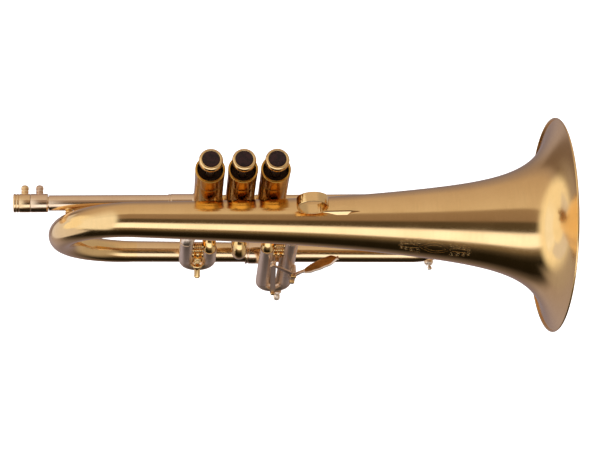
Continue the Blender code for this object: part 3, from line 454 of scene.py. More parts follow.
def make_valve(number, x):
    foot = Vector((x, 0, 0))
    casing = [
        (BORE_RADIUS, CASING_BOTTOM), (CASING_RADIUS, CASING_BOTTOM), (CASING_RADIUS, CASING_TOP - 0.0002),
        (BORE_RADIUS, CASING_TOP - 0.0002),
    ]
    # The casing's deeper orange is painted shade from reflections between the casings and the bell.
    lathe(f"casing_shell_{number}", casing, foot, Z, shaded_casing_gold, "horn", [f"valve_casing_{number}"], 96, 0.00008)
    seat, r, hole = CASING_TOP + 0.0001, CAP_RADIUS, BUTTON_RADIUS + 0.0005
    cap = [
        (PISTON_RADIUS, seat), (CASING_RADIUS, seat), (CASING_RADIUS + 0.0001, seat + 0.0030),
        (r - 0.0001, CAP_TOP - 0.0040),
        (r, CAP_TOP - 0.0012), (r, CAP_TOP - 0.0003), (r - 0.0005, CAP_TOP),
        (hole + 0.0003, CAP_TOP), (hole, CAP_TOP - 0.0008), (hole, RECESS_FLOOR),
        (STEM_RADIUS + 0.0004, RECESS_FLOOR), (STEM_RADIUS + 0.0004, seat - 0.002),
        (PISTON_RADIUS, seat - 0.002),
    ]
    # The cap carries the same painted shade as the casing; the lip at its top keeps the plain brass colour.
    lathe(f"cap_shell_{number}", cap, foot, Z, shaded_casing_gold, "horn", [f"top_cap_{number}"], 96)
    lip = [(hole + 0.0009 * (1 + math.cos(a)), CAP_TOP - 0.0007 + 0.0007 * math.sin(a))
           for a in (2 * math.pi * i / 16 for i in range(16))]
    lathe(f"cap_lip_{number}", lip, foot, Z, tube_satin, "horn", (), 96, 0)
    pad = [(hole - 0.0003, RECESS_FLOOR), (hole - 0.0003, RECESS_FLOOR + 0.0040),
           (STEM_RADIUS + 0.0005, RECESS_FLOOR + 0.0044), (STEM_RADIUS + 0.0005, RECESS_FLOOR)]
    lathe(f"felt_pad_{number}", pad, foot, Z, felt_and_slot_shade, "horn", [f"cap_felt_{number}"], 64, 0.0004)
    low = CASING_BOTTOM - 0.0102
    bottom = [
        (PISTON_RADIUS, CASING_BOTTOM - 0.0003), (r, CASING_BOTTOM - 0.0003), (r, CASING_BOTTOM - 0.0018),
        (r - 0.0005, CASING_BOTTOM - 0.0021), (r - 0.0005, CASING_BOTTOM - 0.0026),
        (r, CASING_BOTTOM - 0.0029),
        (r, low + 0.0030), (r - 0.0026, low + 0.0006), (r - 0.0040, low), (0.0020, low),
        (0.0020, low + 0.0015),
        (PISTON_RADIUS, low + 0.0015),
    ]
    lathe(f"base_cap_{number}", bottom, foot, Z, polished, "horn", [f"bottom_cap_{number}"], 120, 0.0002,
          knurl(60, 0.02, low + 0.0032, CASING_BOTTOM - 0.0030, 0.0109))
    top, wide = BUTTON_TOP, BUTTON_RADIUS
    button = [
        (0, top - 0.0100), (0.0046, top - 0.0100), (0.0050, top - 0.0088), (0.0066, top - 0.0074),
        (wide - 0.0008, top - 0.0062), (wide - 0.0002, top - 0.0046), (wide, top - 0.0026),
        (wide - 0.0004, top - 0.0010), (wide - 0.0012, top - 0.0002), (PEARL_RADIUS + 0.0008, top),
        (PEARL_RADIUS + 0.0002, top - 0.0003), (PEARL_RADIUS + 0.0001, top - 0.0008), (0, top - 0.0008),
    ]
    lathe(f"button_cup_{number}", button, foot, Z, satin, f"valve_{number}", [f"finger_button_{number}"], 96,
          0.0003)
    disc = [
        (0, top - 0.0012), (PEARL_RADIUS, top - 0.0012), (PEARL_RADIUS, top - 0.0006),
        (PEARL_RADIUS * 0.8, top - 0.0004), (0, top - 0.0003),
    ]
    lathe(f"button_pearl_{number}", disc, foot, Z, pearl, f"valve_{number}", [f"button_disc_{number}"], 72,
        0.0002)
    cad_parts[f"piston_{number}"].data.materials[0] = nickel
    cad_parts[f"piston_spring_{number}"].data.materials[0] = steel


def make_valves():
    for number, x in enumerate(VALVE_X, start=1):
        make_valve(number, x)
    for number in (1, 2):
        start = Vector((VALVE_X[number - 1] + CASING_RADIUS - 0.0006, 0, BRANCH_Z))
        long = VALVE_SPACING - 2 * CASING_RADIUS + 0.0012
        r, inner = PIPE_RADIUS, PIPE_RADIUS - 0.0006
        profile = [(inner, 0), (r, 0), (r + 0.0005, 0.0006), (r, 0.0014), (r, long - 0.0014),
                   (r + 0.0005, long - 0.0006), (r, long), (inner, long)]
        lathe(f"knuckle_tube_{number}", profile, start, X, polished, "horn",
            [f"knuckle_{number}_{number + 1}"], 56)


# ---- mouthpipe ----
def pipe_at(x):
    return Vector((x, 0, PIPE_Z))


def make_screw(name, x, body, node, slotted):
    """A thumb screw: ringed shank, waist and domed head."""
    profile = [
        (0, 0.0066), (0.0029, 0.0066), (0.0029, 0.0078), (0.0024, 0.0081), (0.0024, 0.0085), (0.0029, 0.0088),
        (0.0029, 0.0104), (0.0024, 0.0107), (0.0024, 0.0111), (0.0030, 0.0114), (0.0030, 0.0132),
        (0.0023, 0.0144),
        (0, 0.0148),
    ]
    ridges = knurl(28, 0.06, 0.0112, 0.0136, 0.0028) if slotted else None
    lathe(name, profile, pipe_at(x), Y, lever_brass if slotted else tube_satin, body, [node], 56, 0.0003,
          ridges)
    if slotted:
        # Painted shade: a thin black sheet laid on the domed head where the slot's groove would be in shadow;
        # no groove is cut.
        outline = [(-0.0016, -0.0003), (0.0016, -0.0003), (0.0016, 0.0003), (-0.0016, 0.0003)]
        matrix = Matrix.Translation(pipe_at(x) + Y * 0.0146) @ Matrix.Rotation(math.pi / 2, 4, "X")
        slab(name + "_painted_slot_shade", outline, 0.0004, matrix, felt_and_slot_shade, body, (), 0.00005)


def make_mouthpipe():
    r = PIPE_RADIUS
    inner = 0.0051
    outer = [(inner, -0.1490), (r, -0.1490), (r, -0.0552), (inner, -0.0552)]
    lathe("mouthpipe_tube", outer, pipe_at(0), X, pipe_satin, "horn", ["outer_mouthpipe"], 64)
    w, start, end = SLEEVE_RADIUS, -0.0557, VALVE_X[0] - CASING_RADIUS + 0.0006
    sleeve = [(inner, start), (w, start), (w, start + 0.0010), (w - 0.0003, start + 0.0013),
        (w - 0.0003, start + 0.0018),
              (w, start + 0.0021), (w, end - 0.0014), (w + 0.0004, end - 0.0008), (w + 0.0004, end),
              (inner, end)]
    lathe("mouthpipe_sleeve", sleeve, pipe_at(0), X, pipe_satin, "horn", ["mouthpipe_ferrule"], 64)
    c, a, b = COLLAR_RADIUS, -0.1629, -0.1495
    collar = [(inner, a), (c, a), (c, b - 0.0008), (c - 0.0003, b - 0.0005), (c - 0.0003, b), (inner, b)]
    lathe("collar_shell", collar, pipe_at(0), X, pipe_satin, "horn", ["lock_collar"], 72, 0.0002)
    make_screw("lock_screw_head", -0.15615, "lock_screw", "lock_screw", True)
    m = RECEIVER_END
    grooves = []
    for place in (0.0018, 0.0040):
        grooves += [(c, m + place), (c - 0.0005, m + place + 0.0001), (c - 0.0005, m + place + 0.0006),
                    (c, m + place + 0.0007)]
    receiver = [
        (0.0048, m), (c - 0.0004, m), (c, m + 0.0005), *grooves, (c, -0.1632), (0.0048, -0.1632),
        (0.0048, -0.075),
        (0.0042, -0.075), (0.0042, m + 0.016),
    ]
    lathe("receiver_shell", receiver, pipe_at(0), X, tube_satin, "tuning_slide", ["mouthpiece_receiver"], 72,
        0.00015)
    make_screw("receiver_screw_head", RECEIVER_END + 0.0132 * 0.66, "tuning_slide", "receiver_screw", False)
    low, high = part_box("mouthpipe_brace")
    middle = (low + high) / 2
    way = middle - pipe_at(middle.x)
    near, far = PIPE_RADIUS - 0.0008, 2 * way.length - PIPE_RADIUS - 0.0012
    waist = (near + far) / 2
    brace = [
        (0, near), (0.0030, near), (0.0032, near + 0.0010), (0.0020, near + 0.0018), (0.0017, waist - 0.0008),
        (0.0021, waist), (0.0017, waist + 0.0008), (0.0022, far - 0.0016), (0.0030, far - 0.0008),
        (0.0029, far),
        (0, far),
    ]
    lathe("brace_ball", brace, pipe_at(middle.x), way, polished, "horn", ["mouthpipe_brace"], 48, 0.0003)


# ---- valve slides ----
def legs_at(middle_x):
    """The rear and front leg of a slide."""
    half = LEG_SPACING / 2
    return [Vector((middle_x - half, LEG_Y, 0)), Vector((middle_x + half, LEG_Y, 0))]


def make_leg(name, valve_x, leg, port_z, end_z, node, elbow):
    """The elbow from the casing and the brushed leg."""
    valve = Vector((valve_x, 0, port_z))
    corner = Vector((leg.x, leg.y, port_z))
    away = (corner - valve).normalized()
    bend_start = corner - away * ELBOW_RADIUS
    bend = arc(bend_start - Z * ELBOW_RADIUS, Z * ELBOW_RADIUS, away, math.pi / 2, 20)
    path = [valve + away * (CASING_RADIUS - 0.0006), *bend, bend[-1] - Z * 0.0006]
    radius = LEG_RADIUS - (0.0003 if elbow is polished else 0.0)
    sweep(f"{name}_elbow", path, [radius] * len(path), elbow, "horn", (), 40)
    top = bend[-1].z + 0.0032
    r = LEG_RADIUS
    tube = [(0.0046, top), (r, top), (r, end_z), (0.0046, end_z)]
    foot = Vector((leg.x, leg.y, 0))
    lathe(f"{name}_tube", tube, foot, Z, nickel, "horn", [node], 56, 0.00015)


def make_crook(name, legs, way, slide_top, joint, bend_start, material, body, node):
    first, second = legs
    centre = (first + second) / 2 + way * bend_start
    bend = arc(centre, (first - second) / 2, way, math.pi, 40)
    path = [first + way * (joint + 0.0002), *bend, second + way * (joint + 0.0002)]
    sweep(f"{name}_bend", path, [LEG_RADIUS] * len(path), material, body, [node], 48)
    for side, leg in zip(("rear", "front"), legs):
        tube = [(0.0039, slide_top), (0.0044, slide_top), (0.0044, joint + 0.0004), (0.0039, joint + 0.0004)]
        lathe(f"{name}_inner_{side}", tube, leg, way, nickel, body, (), 40, 0.0001)


def beaded(span, beads, size):
    """The profile of a rod with a row of round beads turned on it."""
    profile = [(0, 0), (size, 0), (size, 0.0006)]
    waist, half = 0.0010, 0.42 * span / (beads + 1)
    for i in range(beads):
        centre = span * (i + 1) / (beads + 1)
        for k in range(9):
            a = math.pi * k / 8
            profile.append((waist + (size * 0.95 - waist) * math.sin(a), centre - half * math.cos(a)))
    return profile + [(size, span - 0.0006), (size, span), (0, span)]


def make_turned_brace(name, middle_x, y, z, body, node, beads, size):
    span = LEG_SPACING - 2 * LEG_RADIUS + 0.0008
    start = Vector((middle_x - span / 2, y, z))
    lathe(name, beaded(span, beads, size), start, X, polished, body, [node] if node else (), 48, 0)


def make_first_knob():
    """A straight nipple on a saddle that sits over the front of the crook."""
    base = Vector((FIRST_X, LEG_Y - 0.0030, FIRST_CROOK_Z + 0.0045))
    profile = [
        (0, -0.0010), (0.0042, 0), (0.0044, 0.0010), (0.0036, 0.0024), (0.0026, 0.0030), (0.0024, 0.0036),
        (0.0024, 0.0096), (0.0026, 0.0104), (0.0020, 0.0116), (0, 0.0118),
    ]
    lathe("first_pull_knob", profile, base, Vector((0, -0.66, -0.75)), polished, "first_slide",
        ["first_slide_knob"],
          48, 0.0003)
    spool = Vector((FIRST_X, LEG_Y - 0.0006, FIRST_CROOK_Z + LEG_RADIUS - 0.0010))
    lathe("first_crook_spool", beaded(0.0135, 3, 0.0034), spool, Z, polished, "first_slide", (), 48, 0)


def make_third_knob():
    out = Vector((0, -0.6, -0.8))
    base = Vector((THIRD_X + 0.0037, LEG_Y, THIRD_CROOK_Z)) + out * (LEG_RADIUS - 0.0004)
    profile = [
        (0, 0), (0.0036, 0), (0.0038, 0.0008), (0.0038, 0.0018), (0.0028, 0.0024), (0.0020, 0.0030),
        (0.0020, 0.0040),
        (0.0026, 0.0048), (0.0027, 0.0060), (0.0026, 0.0084), (0.0018, 0.0092), (0, 0.0095),
    ]
    lathe("third_pull_knob", profile, base, out, nickel, "third_slide", ["third_slide_knob"], 48, 0.0003)


def make_guide_rods():
    """The two thin bars beside the third slide's legs, fixed in the crook."""
    inside = LEG_SPACING / 2 - LEG_RADIUS
    low = THIRD_CROOK_Z + LEG_SPACING / 2 - 0.004
    for name, x, radius in (("rear", THIRD_X - inside + 0.0007, 0.0009),
        ("front", THIRD_X + inside - 0.0010, 0.0012)):
        path = [Vector((x, LEG_Y - 0.0012, low + i * (-0.0700 - low) / 6)) for i in range(7)]
        sweep(f"third_guide_{name}", path, [radius] * 7, nickel, "third_slide", (), 20, True)


def make_slides():
    down = -Z
    plans = (
        ("first", VALVE_X[0], FIRST_X, (HIGH_PORT_Z, LOW_PORT_Z), FIRST_CROOK_Z, 0.0590),
        ("third", VALVE_X[2], THIRD_X, (LOW_PORT_Z, HIGH_PORT_Z), THIRD_CROOK_Z, 0.0700),
    )
    for name, valve_x, middle, ports, crook_z, slide_top in plans:
        bend_start = -crook_z - LEG_SPACING / 2
        joint = bend_start - 0.001
        legs = legs_at(middle)
        for side, leg, port in zip(("rear", "front"), legs, ports):
            make_leg(f"{name}_{side}", valve_x, leg, port, -joint + 0.0003, f"{name}_slide_leg_{side}",
                     polished if port == LOW_PORT_Z else nickel)
        make_crook(f"{name}_crook", legs, down, slide_top, joint, bend_start, nickel, f"{name}_slide",
                   f"{name}_slide_crook")
        make_turned_brace(f"{name}_brace_upper", middle, LEG_Y, -0.0500, "horn", None, 4, 0.0030)
        make_turned_brace(f"{name}_brace_beads", middle, LEG_Y - 0.0010, -0.0570, "horn", None, 3, 0.0017)
        make_turned_brace(f"{name}_brace_ball", middle, LEG_Y, -0.0660, "horn", f"{name}_slide_brace", 1,
            0.0032)
    make_first_knob()
    make_third_knob()
    make_guide_rods()
    out = -Y
    legs = [Vector((VALVE_X[1], 0, z)) for z in SECOND_Z]
    bend_start = -SECOND_CROOK_Y - (SECOND_Z[0] - SECOND_Z[1]) / 2
    joint = bend_start - 0.0005
    for place, leg in zip(("upper", "lower"), legs):
        r, end = LEG_RADIUS - 0.0001, joint - 0.0003
        tube = [(0.0046, 0.0100), (r, 0.0100), (r, end - 0.0018), (r + 0.0002, end - 0.0014),
            (r + 0.0002, end),
                (0.0046, end)]
        lathe(f"second_tube_{place}", tube, leg, out, polished, "horn", [f"second_slide_tube_{place}"], 56,
            0.0002)
    make_crook("second_crook", legs, out, 0.0125, joint, bend_start, polished, "second_slide",
        "second_slide_crook")


# ---- trigger ----
def round_outline(points, steps=10):
    """Arc pieces (x, y, radius, from degrees, to degrees) joined into one outline."""
    made = []
    for x, y, radius, start, end in points:
        for i in range(steps + 1):
            a = math.radians(start + (end - start) * i / steps)
            made.append((x + radius * math.cos(a), y + radius * math.sin(a)))
    return made


def make_rod():
    along = ROD_TOP - ROD_BOTTOM
    lean = math.atan2(along.x, along.z)
    matrix = Matrix.Translation(ROD_BOTTOM) @ Matrix.Rotation(math.pi / 2, 4, "X") @ Matrix.Rotation(-lean, 4,
        "Z")
    eye = 0.0023
    outline = round_outline([(0, along.length, eye, -50, 230), (0, 0, eye, 130, 410)])
    narrow = [(x * (0.72 if 0.003 < y < along.length - 0.003 else 1), y) for x, y in outline]
    slab("link_rod_bar", narrow, 0.0020, matrix, nickel, "link", ["link_rod"], 0.0006)
    for name, point, body in (("link_pin_lower", ROD_BOTTOM, "third_slide"),
        ("link_pin_upper", ROD_TOP, "trigger")):
        profile = [
            (0, 0), (0.0011, 0), (0.0011, 0.0010), (0.0016, 0.0013), (0.0019, 0.0016), (0.0017, 0.0022),
            (0, 0.0024),
        ]
        lathe(name, profile, point, -Y, polished, body, (), 40, 0.0001)


def weighed(weights, values):
    """Points blended by their weights. Widths and heights run one anchor ahead of their points."""
    if isinstance(values[0], Vector):
        return sum((w * v for w, v in zip(weights, values)), Vector())
    return weights[0] * values[0] + weights[0] * values[1] + weights[1] * values[2] + weights[2] * values[3]


def blend_points(anchors, steps=8):
    """A smooth line through (point, width, height) anchors."""
    dense = []
    last = len(anchors) - 1
    for i in range(last):
        near = [anchors[min(max(i + k, 0), last)] for k in (-1, 0, 1, 2)]
        for step in range(steps):
            t = step / steps
            weights = (
                -0.5 * t + t * t - 0.5 * t ** 3, 1 - 2.5 * t * t + 1.5 * t ** 3,
                0.5 * t + 2 * t * t - 1.5 * t ** 3, -0.5 * t * t + 0.5 * t ** 3,
            )
            dense.append(tuple(weighed(weights, values) for values in zip(*near)))
    dense.append(anchors[-1])
    return dense


def flat_bar(name, dense, material, nodes):
    """A bar of rounded oblong section that turns with its own line."""
    builder = bmesh.new()
    grain = builder.verts.layers.float_vector.new("grain")
    rings, run = [], 0.0
    for i, (point, width, height) in enumerate(dense):
        tangent = (dense[min(i + 1, len(dense) - 1)][0] - dense[max(i - 1, 0)][0]).normalized()
        run += (point - dense[i - 1][0]).length if i else 0
        rise = tangent.cross(Y).normalized()
        ring = []
        for k in range(20):
            a = 2 * math.pi * k / 20
            u = math.copysign(abs(math.cos(a)) ** 0.45, math.cos(a)) * width / 2
            v = math.copysign(abs(math.sin(a)) ** 0.45, math.sin(a)) * height / 2
            vert = builder.verts.new(point + Y * u + rise * v)
            vert[grain] = Vector((run, v, u * 0.6))
            ring.append(vert)
        rings.append(ring)
    bridge(builder, rings)
    builder.faces.new(reversed(rings[0]))
    builder.faces.new(rings[-1])
    return add_piece(name, builder, material, "trigger", nodes, 60)


def make_lever():
    """The arm, pivot boss and curved neck, then the broad finger paddle with its bright edge."""
    arm = Vector((ROD_TOP.x, PIVOT.y, ROD_TOP.z))
    start, tip = Vector((0.0556, -0.0350, -0.0795)), Vector((0.0796, -0.0345, -0.0536))
    toward = (arm - PIVOT).normalized()
    raised = Vector((0, 0.0004, 0.0012))
    side = Vector((-1, 0, 1))
    neck = start + side * 0.0002
    arm_line = [
        (arm + toward * 0.0018 + raised, 0.0016, 0.0030), (arm + raised, 0.0016, 0.0040),
        (arm - toward * 0.0022 + 1.3 * raised, 0.0016, 0.0030),
        (arm.lerp(PIVOT, 0.5) + 1.5 * raised, 0.0016, 0.0026),
        (PIVOT + toward * 0.004 + raised, 0.0016, 0.0036),
        (PIVOT, 0.0018, 0.0044), (PIVOT.lerp(start, 0.5) + raised * 0.5, 0.0020, 0.0030),
        (neck, 0.0026, 0.0022),
    ]
    paddle_line = [
        (neck, 0.0026, 0.0020), (start.lerp(tip, 0.26) + side * 0.0005, 0.0040, 0.0015),
        (start.lerp(tip, 0.55) + side * 0.0008, 0.0070, 0.0013),
        (start.lerp(tip, 0.82) + side * 0.0006, 0.0082, 0.0013),
        (start.lerp(tip, 0.94) + side * 0.0003, 0.0074, 0.0012), (tip, 0.0030, 0.0010),
    ]
    flat_bar("lever_arm", blend_points(arm_line), lever_brass, ["trigger_lever"])
    dense = blend_points(paddle_line)
    # The paddle's dark colour is a painted reflection of the bell's underside.
    flat_bar("lever_paddle", dense, paddle_bell_reflection, ())
    edge = [point - Y * (width / 2 - 0.0002) for point, width, _ in dense]
    sweep("lever_paddle_edge", edge, [0.0009] * len(edge), nickel, "trigger", (), 16, True)


def make_post():
    x, front, top = PIVOT.x, PIVOT.y + 0.0011, PIVOT.z
    outline = round_outline([(0.0419, LEG_Y, 0.0058, -24, -68)])
    outline += [(x - 0.0021, front), (x + 0.0021, front), (x + 0.0021, outline[0][1])]
    slab("lever_post_block", outline, 0.024, Matrix.Translation((0, 0, top - 0.009)), nickel, "horn",
        ["trigger_post"],
         0.0004)
    screws = (("pivot_screw_head", top, 0.0024, ["pivot_screw"]),
        ("post_screw_head", top - 0.0165, 0.0021, ()))
    for name, z, size, nodes in screws:
        start = PIVOT.y - 0.0009 if nodes else front
        profile = [
            (0, -0.0030), (0.0011, -0.0030), (0.0011, 0), (size, 0), (size, 0.0009), (size * 0.7, 0.0014),
            (0, 0.0015),
        ]
        lathe(name, profile, Vector((x, start, z)), -Y, polished, "horn", nodes, 40, 0.0002)


# ---- finger ring ----
def bell_top(x):
    return bell_point(x) + Z * bell_radius(RIM_X - x)


def make_ring():
    low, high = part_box("finger_ring")
    centre = (low + high) / 2
    r, wall, half = RING_RADIUS, RING_WALL, RING_WIDTH / 2
    profile = [(r - wall, -half), (r, -half), (r, half), (r - wall, half), (r - wall * 0.8, 0)]
    lathe("little_finger_ring", profile, centre, Y, satin, "horn", ["finger_ring"], 144, 0.00045)
    foot = [(0, 0), (0.0030, 0), (0.0026, 0.0007), (0.0018, 0.0015), (0, 0.0015)]
    place = bell_top(RING_X) + Vector((0, 0.0012, -0.0002))
    lathe("ring_foot", foot, place, Z, satin, "horn", (), 40, 0.0003)


def ease(value):
    """A smooth step from 0 to 1."""
    value = min(1.0, max(0.0, value))
    return value * value * (3 - 2 * value)


def leaf_section(x):
    """How far the upper lobe, the crest and the folded lower lobe reach at one place along the leaf."""
    upper = ease((x - 0.060) / 0.018) if x < 0.078 else 1 - ((x - 0.078) / 0.011) ** 0.9
    lower = ease((x - 0.058) / 0.018) if x < 0.0785 else 1 - ease((x - 0.0785) / 0.0045)
    crest = 0.0005 + 0.0015 * ease((x - 0.048) / 0.020) * (1 - ease((x - 0.080) / 0.009))
    return max(0.0, upper), max(0.0, lower), crest


def make_leaf():
    """The leaf-shaped foot plate: a broad flat lobe and a narrow one folded down beside it."""
    start, end, count, across = RING_X - 0.010, 0.089, 94, 6
    builder = bmesh.new()
    grain = builder.verts.layers.float_vector.new("grain")
    loops = []
    for i in range(count + 1):
        x = start + (end - start) * i / count
        upper, lower, crest = leaf_section(x)
        taper = min(1.0, (x - start) / 0.004 + 0.1, (end - x) / 0.006 + 0.06)
        top = bell_top(x) + Z * crest
        flat = Vector((0, 0.0004 * taper + 0.0042 * upper, -0.0006 * upper))
        crease = Vector((0, -0.0008, -0.0004)) * taper
        drop = Vector((0, -0.0022, -0.0021)) * lower
        line = [top + flat * (1 - k / across) for k in range(across)] + [top]
        line += [top + crease + drop * (k / across) for k in range(across + 1)]
        thick = Z * 0.0005 * taper
        ring = []
        for point in [*line, *(p - thick for p in reversed(line))]:
            vert = builder.verts.new(point)
            vert[grain] = Vector((point.y, point.y, x * 0.6))
            ring.append(vert)
        loops.append(ring)
    bridge(builder, loops)
    builder.faces.new(reversed(loops[0]))
    builder.faces.new(loops[-1])
    add_piece("ring_leaf_plate", builder, satin, "horn", ["ring_leaf"], 16)


# ---- ornament ----
def scroll(centre_x, centre_y, size, turns, side, lift):
    """A spiral that opens towards one side."""
    steps = int(18 * turns)
    points = []
    for i in range(steps + 1):
        t = i / steps
        angle = 2 * math.pi * turns * t
        reach = size * (0.12 + 0.88 * t)
        points.append((centre_x + side * reach * math.cos(angle), centre_y + lift * reach * math.sin(angle)))
    return points


def bulge(start_x, end_x, base, rise, steps=24):
    return [
        (start_x + (end_x - start_x) * i / steps, base + rise * math.sin(math.pi * i / steps))
        for i in range(steps + 1)
    ]


def make_scrollwork():
    """A plain band of scrolls let into the side of the bell, round an empty lens-shaped frame."""
    lines = [bulge(-0.0085, 0.0085, 0, 0.0030), bulge(-0.0085, 0.0085, 0, -0.0030)]
    lines += [bulge(-0.0105, 0.0105, 0.0010, 0.0044), bulge(-0.0105, 0.0105, -0.0010, -0.0044)]
    scrolls = ((0.0130, 0.0044, 0.0026), (0.0178, 0.0038, 0.0022), (0.0220, 0.0028, 0.0018),
        (0.0256, 0.0018, 0.0014))
    for side in (-1, 1):
        for lift in (-1, 1):
            for turn, (along, high, size) in enumerate(scrolls):
                way = side if turn % 2 else -side
                lines.append(scroll(side * along, lift * high, size, 1.7, way, lift))
                lines.append(bulge(side * (along - size), side * (along + size), lift * (high + size),
                    lift * 0.0010, 12))
            lines.append(bulge(side * 0.0108, side * 0.0280, lift * 0.0006, lift * 0.0012))
    builder = bmesh.new()
    grain = builder.verts.layers.float_vector.new("grain")
    for line in lines:
        path = []
        for along, round_it in line:
            x = SCROLL_X + along
            radius = bell_radius(RIM_X - x)
            turn = SCROLL_TURN + round_it / radius
            path.append(bell_point(x) + radius * Vector((0, -math.sin(turn), math.cos(turn))))
        rings = []
        for i, (point, normal, binormal, _) in enumerate(frames_along(path)):
            taper = 0.00003 + 0.00004 * math.sin(math.pi * i / (len(path) - 1))
            ring = []
            for k in range(6):
                a = math.pi * k / 3
                vert = builder.verts.new(point + taper * (math.cos(a) * normal + math.sin(a) * binormal))
                vert[grain] = point
                ring.append(vert)
            rings.append(ring)
        bridge(builder, rings)
        builder.faces.new(reversed(rings[0]))
        builder.faces.new(rings[-1])
    add_piece("bell_scrollwork", builder, satin, "horn")


# ---- setting ----
def make_setting():
    plain = {"Base Color": (1, 1, 1, 1), "Emission Color": (1, 1, 1, 1), "Emission Strength": 1.0}
    white = Tree("studio_white").surface({**plain, "Roughness": 1.0, "Specular IOR Level": 0.0})
    for name, radius, height in (("floor", 6.0, -0.45), ("backdrop", 9.0, None)):
        builder = bmesh.new()
        if height is None:
            bmesh.ops.create_uvsphere(builder, u_segments=48, v_segments=24, radius=radius)
        else:
            bmesh.ops.create_circle(builder, cap_ends=True, segments=64, radius=radius,
                                    matrix=Matrix.Translation((0, 0, height)))
        thing = mesh_object(name, builder, white)
        thing.visible_glossy = thing.visible_diffuse = thing.visible_shadow = False
        thing.visible_transmission = False


# How bright the studio is at each angle round the horn's long axis, from the zenith (0) towards the
# right-hand side (positive): a strip lamp at 45 to 80 degrees, a pale tent opposite, black cloth below.
STUDIO = (
    (-180, (0.27, 0.22, 0.24)), (-130, (0.26, 0.22, 0.24)), (-100, (0.42, 0.35, 0.36)),
    (-82, (0.58, 0.48, 0.43)),
    (-16, (0.72, 0.63, 0.57)), (-11, (0.34, 0.26, 0.21)), (14, (0.31, 0.23, 0.19)), (20, (0.09, 0.07, 0.05)),
    (40, (0.09, 0.07, 0.05)), (47, (1.30, 1.32, 1.55)), (52, (1.45, 1.50, 1.75)), (74, (1.45, 1.50, 1.75)),
    (80, (0.28, 0.23, 0.19)), (86, (0.20, 0.16, 0.12)), (98, (0.05, 0.04, 0.03)),
    (110, (0.014, 0.011, 0.006)),
    (138, (0.012, 0.009, 0.005)), (155, (0.12, 0.10, 0.10)), (180, (0.27, 0.22, 0.24)),
)
LEFT_END, LEFT_LOW, RIGHT_END = (1.10, 1.06, 0.98), (0.44, 0.40, 0.42), (0.50, 0.45, 0.42)
BELOW_LEFT, BACK_LEFT = (0.42, 0.37, 0.42), (0.20, 0.15, 0.14)
TENT_OPENING, TENT_LOW_OPENING, TENT_RADIUS = -0.178, -0.300, 0.25


class Sky(Nodes):
    """The world's node tree: colour by direction."""

    def __init__(self):
        world = bpy.data.worlds.new("studio")
        bpy.context.scene.world = world
        world.use_nodes = True
        self.grow(world.node_tree)
        self.nodes.clear()

    def math(self, operation, first, second):
        return self.add("ShaderNodeMath", {0: first, 1: second}, operation=operation).outputs[0]

    def step(self, value, start, end):
        settings = {"Value": value, "From Min": start, "From Max": end}
        return self.add("ShaderNodeMapRange", settings, interpolation_type="SMOOTHSTEP").outputs[0]

    def mix(self, factor, first, second):
        made = self.add("ShaderNodeMix", data_type="RGBA")
        self.links.new(factor, made.inputs["Factor"])
        sockets = [socket for socket in made.inputs if socket.type == "RGBA"]
        self.links.new(first, sockets[0])
        sockets[1].default_value = (*second, 1)
        return next(socket for socket in made.outputs if socket.type == "RGBA")


def make_light():
    sky = Sky()
    parts = sky.add("ShaderNodeSeparateXYZ", {0: sky.add("ShaderNodeTexCoord").outputs["Generated"]})
    x, y, z = parts.outputs
    angle = sky.math("ARCTAN2", sky.math("MULTIPLY", y, -1.0), z)
    share = sky.math("ADD", sky.math("MULTIPLY", angle, 0.5 / math.pi), 0.5)
    ramp = sky.add("ShaderNodeValToRGB", {0: share})
    stops = ramp.color_ramp.elements
    while len(stops) < len(STUDIO):
        stops.new(0.5)
    for stop, (degrees, colour) in zip(stops, STUDIO):
        stop.position = degrees / 360 + 0.5
        stop.color = (*colour, 1)
    below = sky.math("MULTIPLY", sky.step(z, -0.3, -0.75), sky.step(x, -0.05, -0.40))
    below = sky.math("MULTIPLY", below, sky.step(y, -0.45, -0.12))
    colour = sky.mix(below, ramp.outputs["Color"], BELOW_LEFT)
    behind = sky.math("MULTIPLY", sky.step(z, -0.1, -0.35), sky.step(y, 0.15, 0.35))
    behind = sky.math("MULTIPLY", behind, sky.step(x, -0.38, -0.52))
    colour = sky.mix(behind, colour, BACK_LEFT)
    colour = sky.mix(sky.step(x, -0.74, -0.87), colour, LEFT_END)
    low = sky.math("MULTIPLY", sky.step(z, -0.28, -0.66), sky.step(x, -0.60, -0.74))
    colour = sky.mix(low, colour, LEFT_LOW)
    colour = sky.mix(sky.step(x, 0.30, 0.75), colour, RIGHT_END)
    shine = sky.add("ShaderNodeBackground", {"Color": colour})
    sky.add("ShaderNodeOutputWorld", {"Surface": shine.outputs[0]})


def tent_cloth(name, colour, edges):
    """Glowing cloth that thins out towards its edges: (axis, clear at, full at) for each."""
    tree = Tree(name)
    place = tree.add("ShaderNodeSeparateXYZ", {0: tree.add("ShaderNodeTexCoord").outputs["Object"]})
    cover = tree.ranged(place.outputs[0], 0.0, 1.0, *edges[0][1:])
    for axis, clear, full in edges[1:]:
        fade = tree.ranged(place.outputs[axis], 0.0, 1.0, clear, full)
        cover = tree.add("ShaderNodeMath", {0: cover, 1: fade}, operation="MULTIPLY").outputs[0]
    dark = {"Base Color": (0, 0, 0, 1), "Specular IOR Level": 0.0, "Alpha": cover}
    return tree.surface({**dark, "Emission Color": (*colour, 1), "Emission Strength": 1.0})


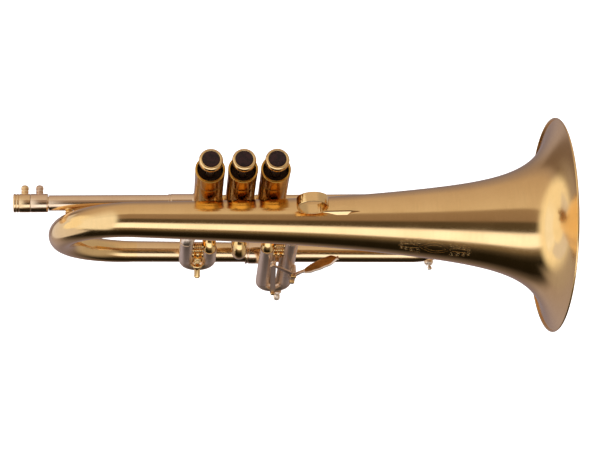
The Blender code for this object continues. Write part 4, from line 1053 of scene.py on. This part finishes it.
def tent_panel(name, opening, first, last, material):
    """A part of a round tent about the bell's axis, between two angles from the zenith."""
    steps = 40
    builder = bmesh.new()
    rings = []
    for x in (opening, -0.90):
        rings.append([
            builder.verts.new((x, BELL_Y - TENT_RADIUS * math.sin(a), BELL_Z + TENT_RADIUS * math.cos(a)))
            for a in (math.radians(first + (last - first) * i / steps) for i in range(steps + 1))
        ])
    for i in range(steps):
        builder.faces.new((rings[0][i], rings[0][i + 1], rings[1][i + 1], rings[1][i]))
    tent = mesh_object(name, builder, material)
    tent.visible_camera = tent.visible_diffuse = tent.visible_shadow = False


def make_left_tent():
    """A pale half tent that stands close to the large loop, and a dimmer cloth below it."""
    upper = tent_cloth("tent_cloth", (1.08, 1.12, 1.24), (
        (0, TENT_OPENING, TENT_OPENING - 0.03), (1, 0.20, -0.04), (2, -0.03, 0.03),
    ))
    tent_panel("left_tent", TENT_OPENING, -62, 100, upper)
    lower = tent_cloth("low_cloth", (0.80, 0.80, 0.95), (
        (0, TENT_LOW_OPENING, TENT_LOW_OPENING - 0.03), (2, 0.0, -0.06),
    ))
    tent_panel("left_low_cloth", TENT_LOW_OPENING, 100, 260, lower)


def make_camera():
    azimuth, elevation, roll = math.radians(-12.185), math.radians(66.0), math.radians(10.813)
    back = Vector((math.sin(azimuth) * math.cos(elevation), -math.cos(azimuth) * math.cos(elevation),
        math.sin(elevation)))
    level = Vector((math.cos(azimuth), math.sin(azimuth), 0))
    upward = back.cross(level)
    right = level * math.cos(roll) + upward * math.sin(roll)
    upright = upward * math.cos(roll) - level * math.sin(roll)
    camera = bpy.data.objects.new("camera", bpy.data.cameras.new("camera"))
    camera.data.lens, camera.data.sensor_width = 117.84, 36.0
    camera.data.clip_start, camera.data.clip_end = 0.05, 60.0
    turn = Matrix((right, upright, back)).transposed().to_4x4()
    camera.matrix_world = Matrix.Translation((-0.0853, -0.63336, 1.38787)) @ turn
    bpy.context.scene.collection.objects.link(camera)
    bpy.context.scene.camera = camera
    bpy.context.scene.view_settings.view_transform = "Standard"


def main():
    make_bell()
    make_water_key(make_loop())
    make_valves()
    make_mouthpipe()
    make_slides()
    make_rod()
    make_lever()
    make_post()
    make_ring()
    make_leaf()
    make_scrollwork()
    make_setting()
    make_left_tent()
    make_light()
    make_camera()


main()
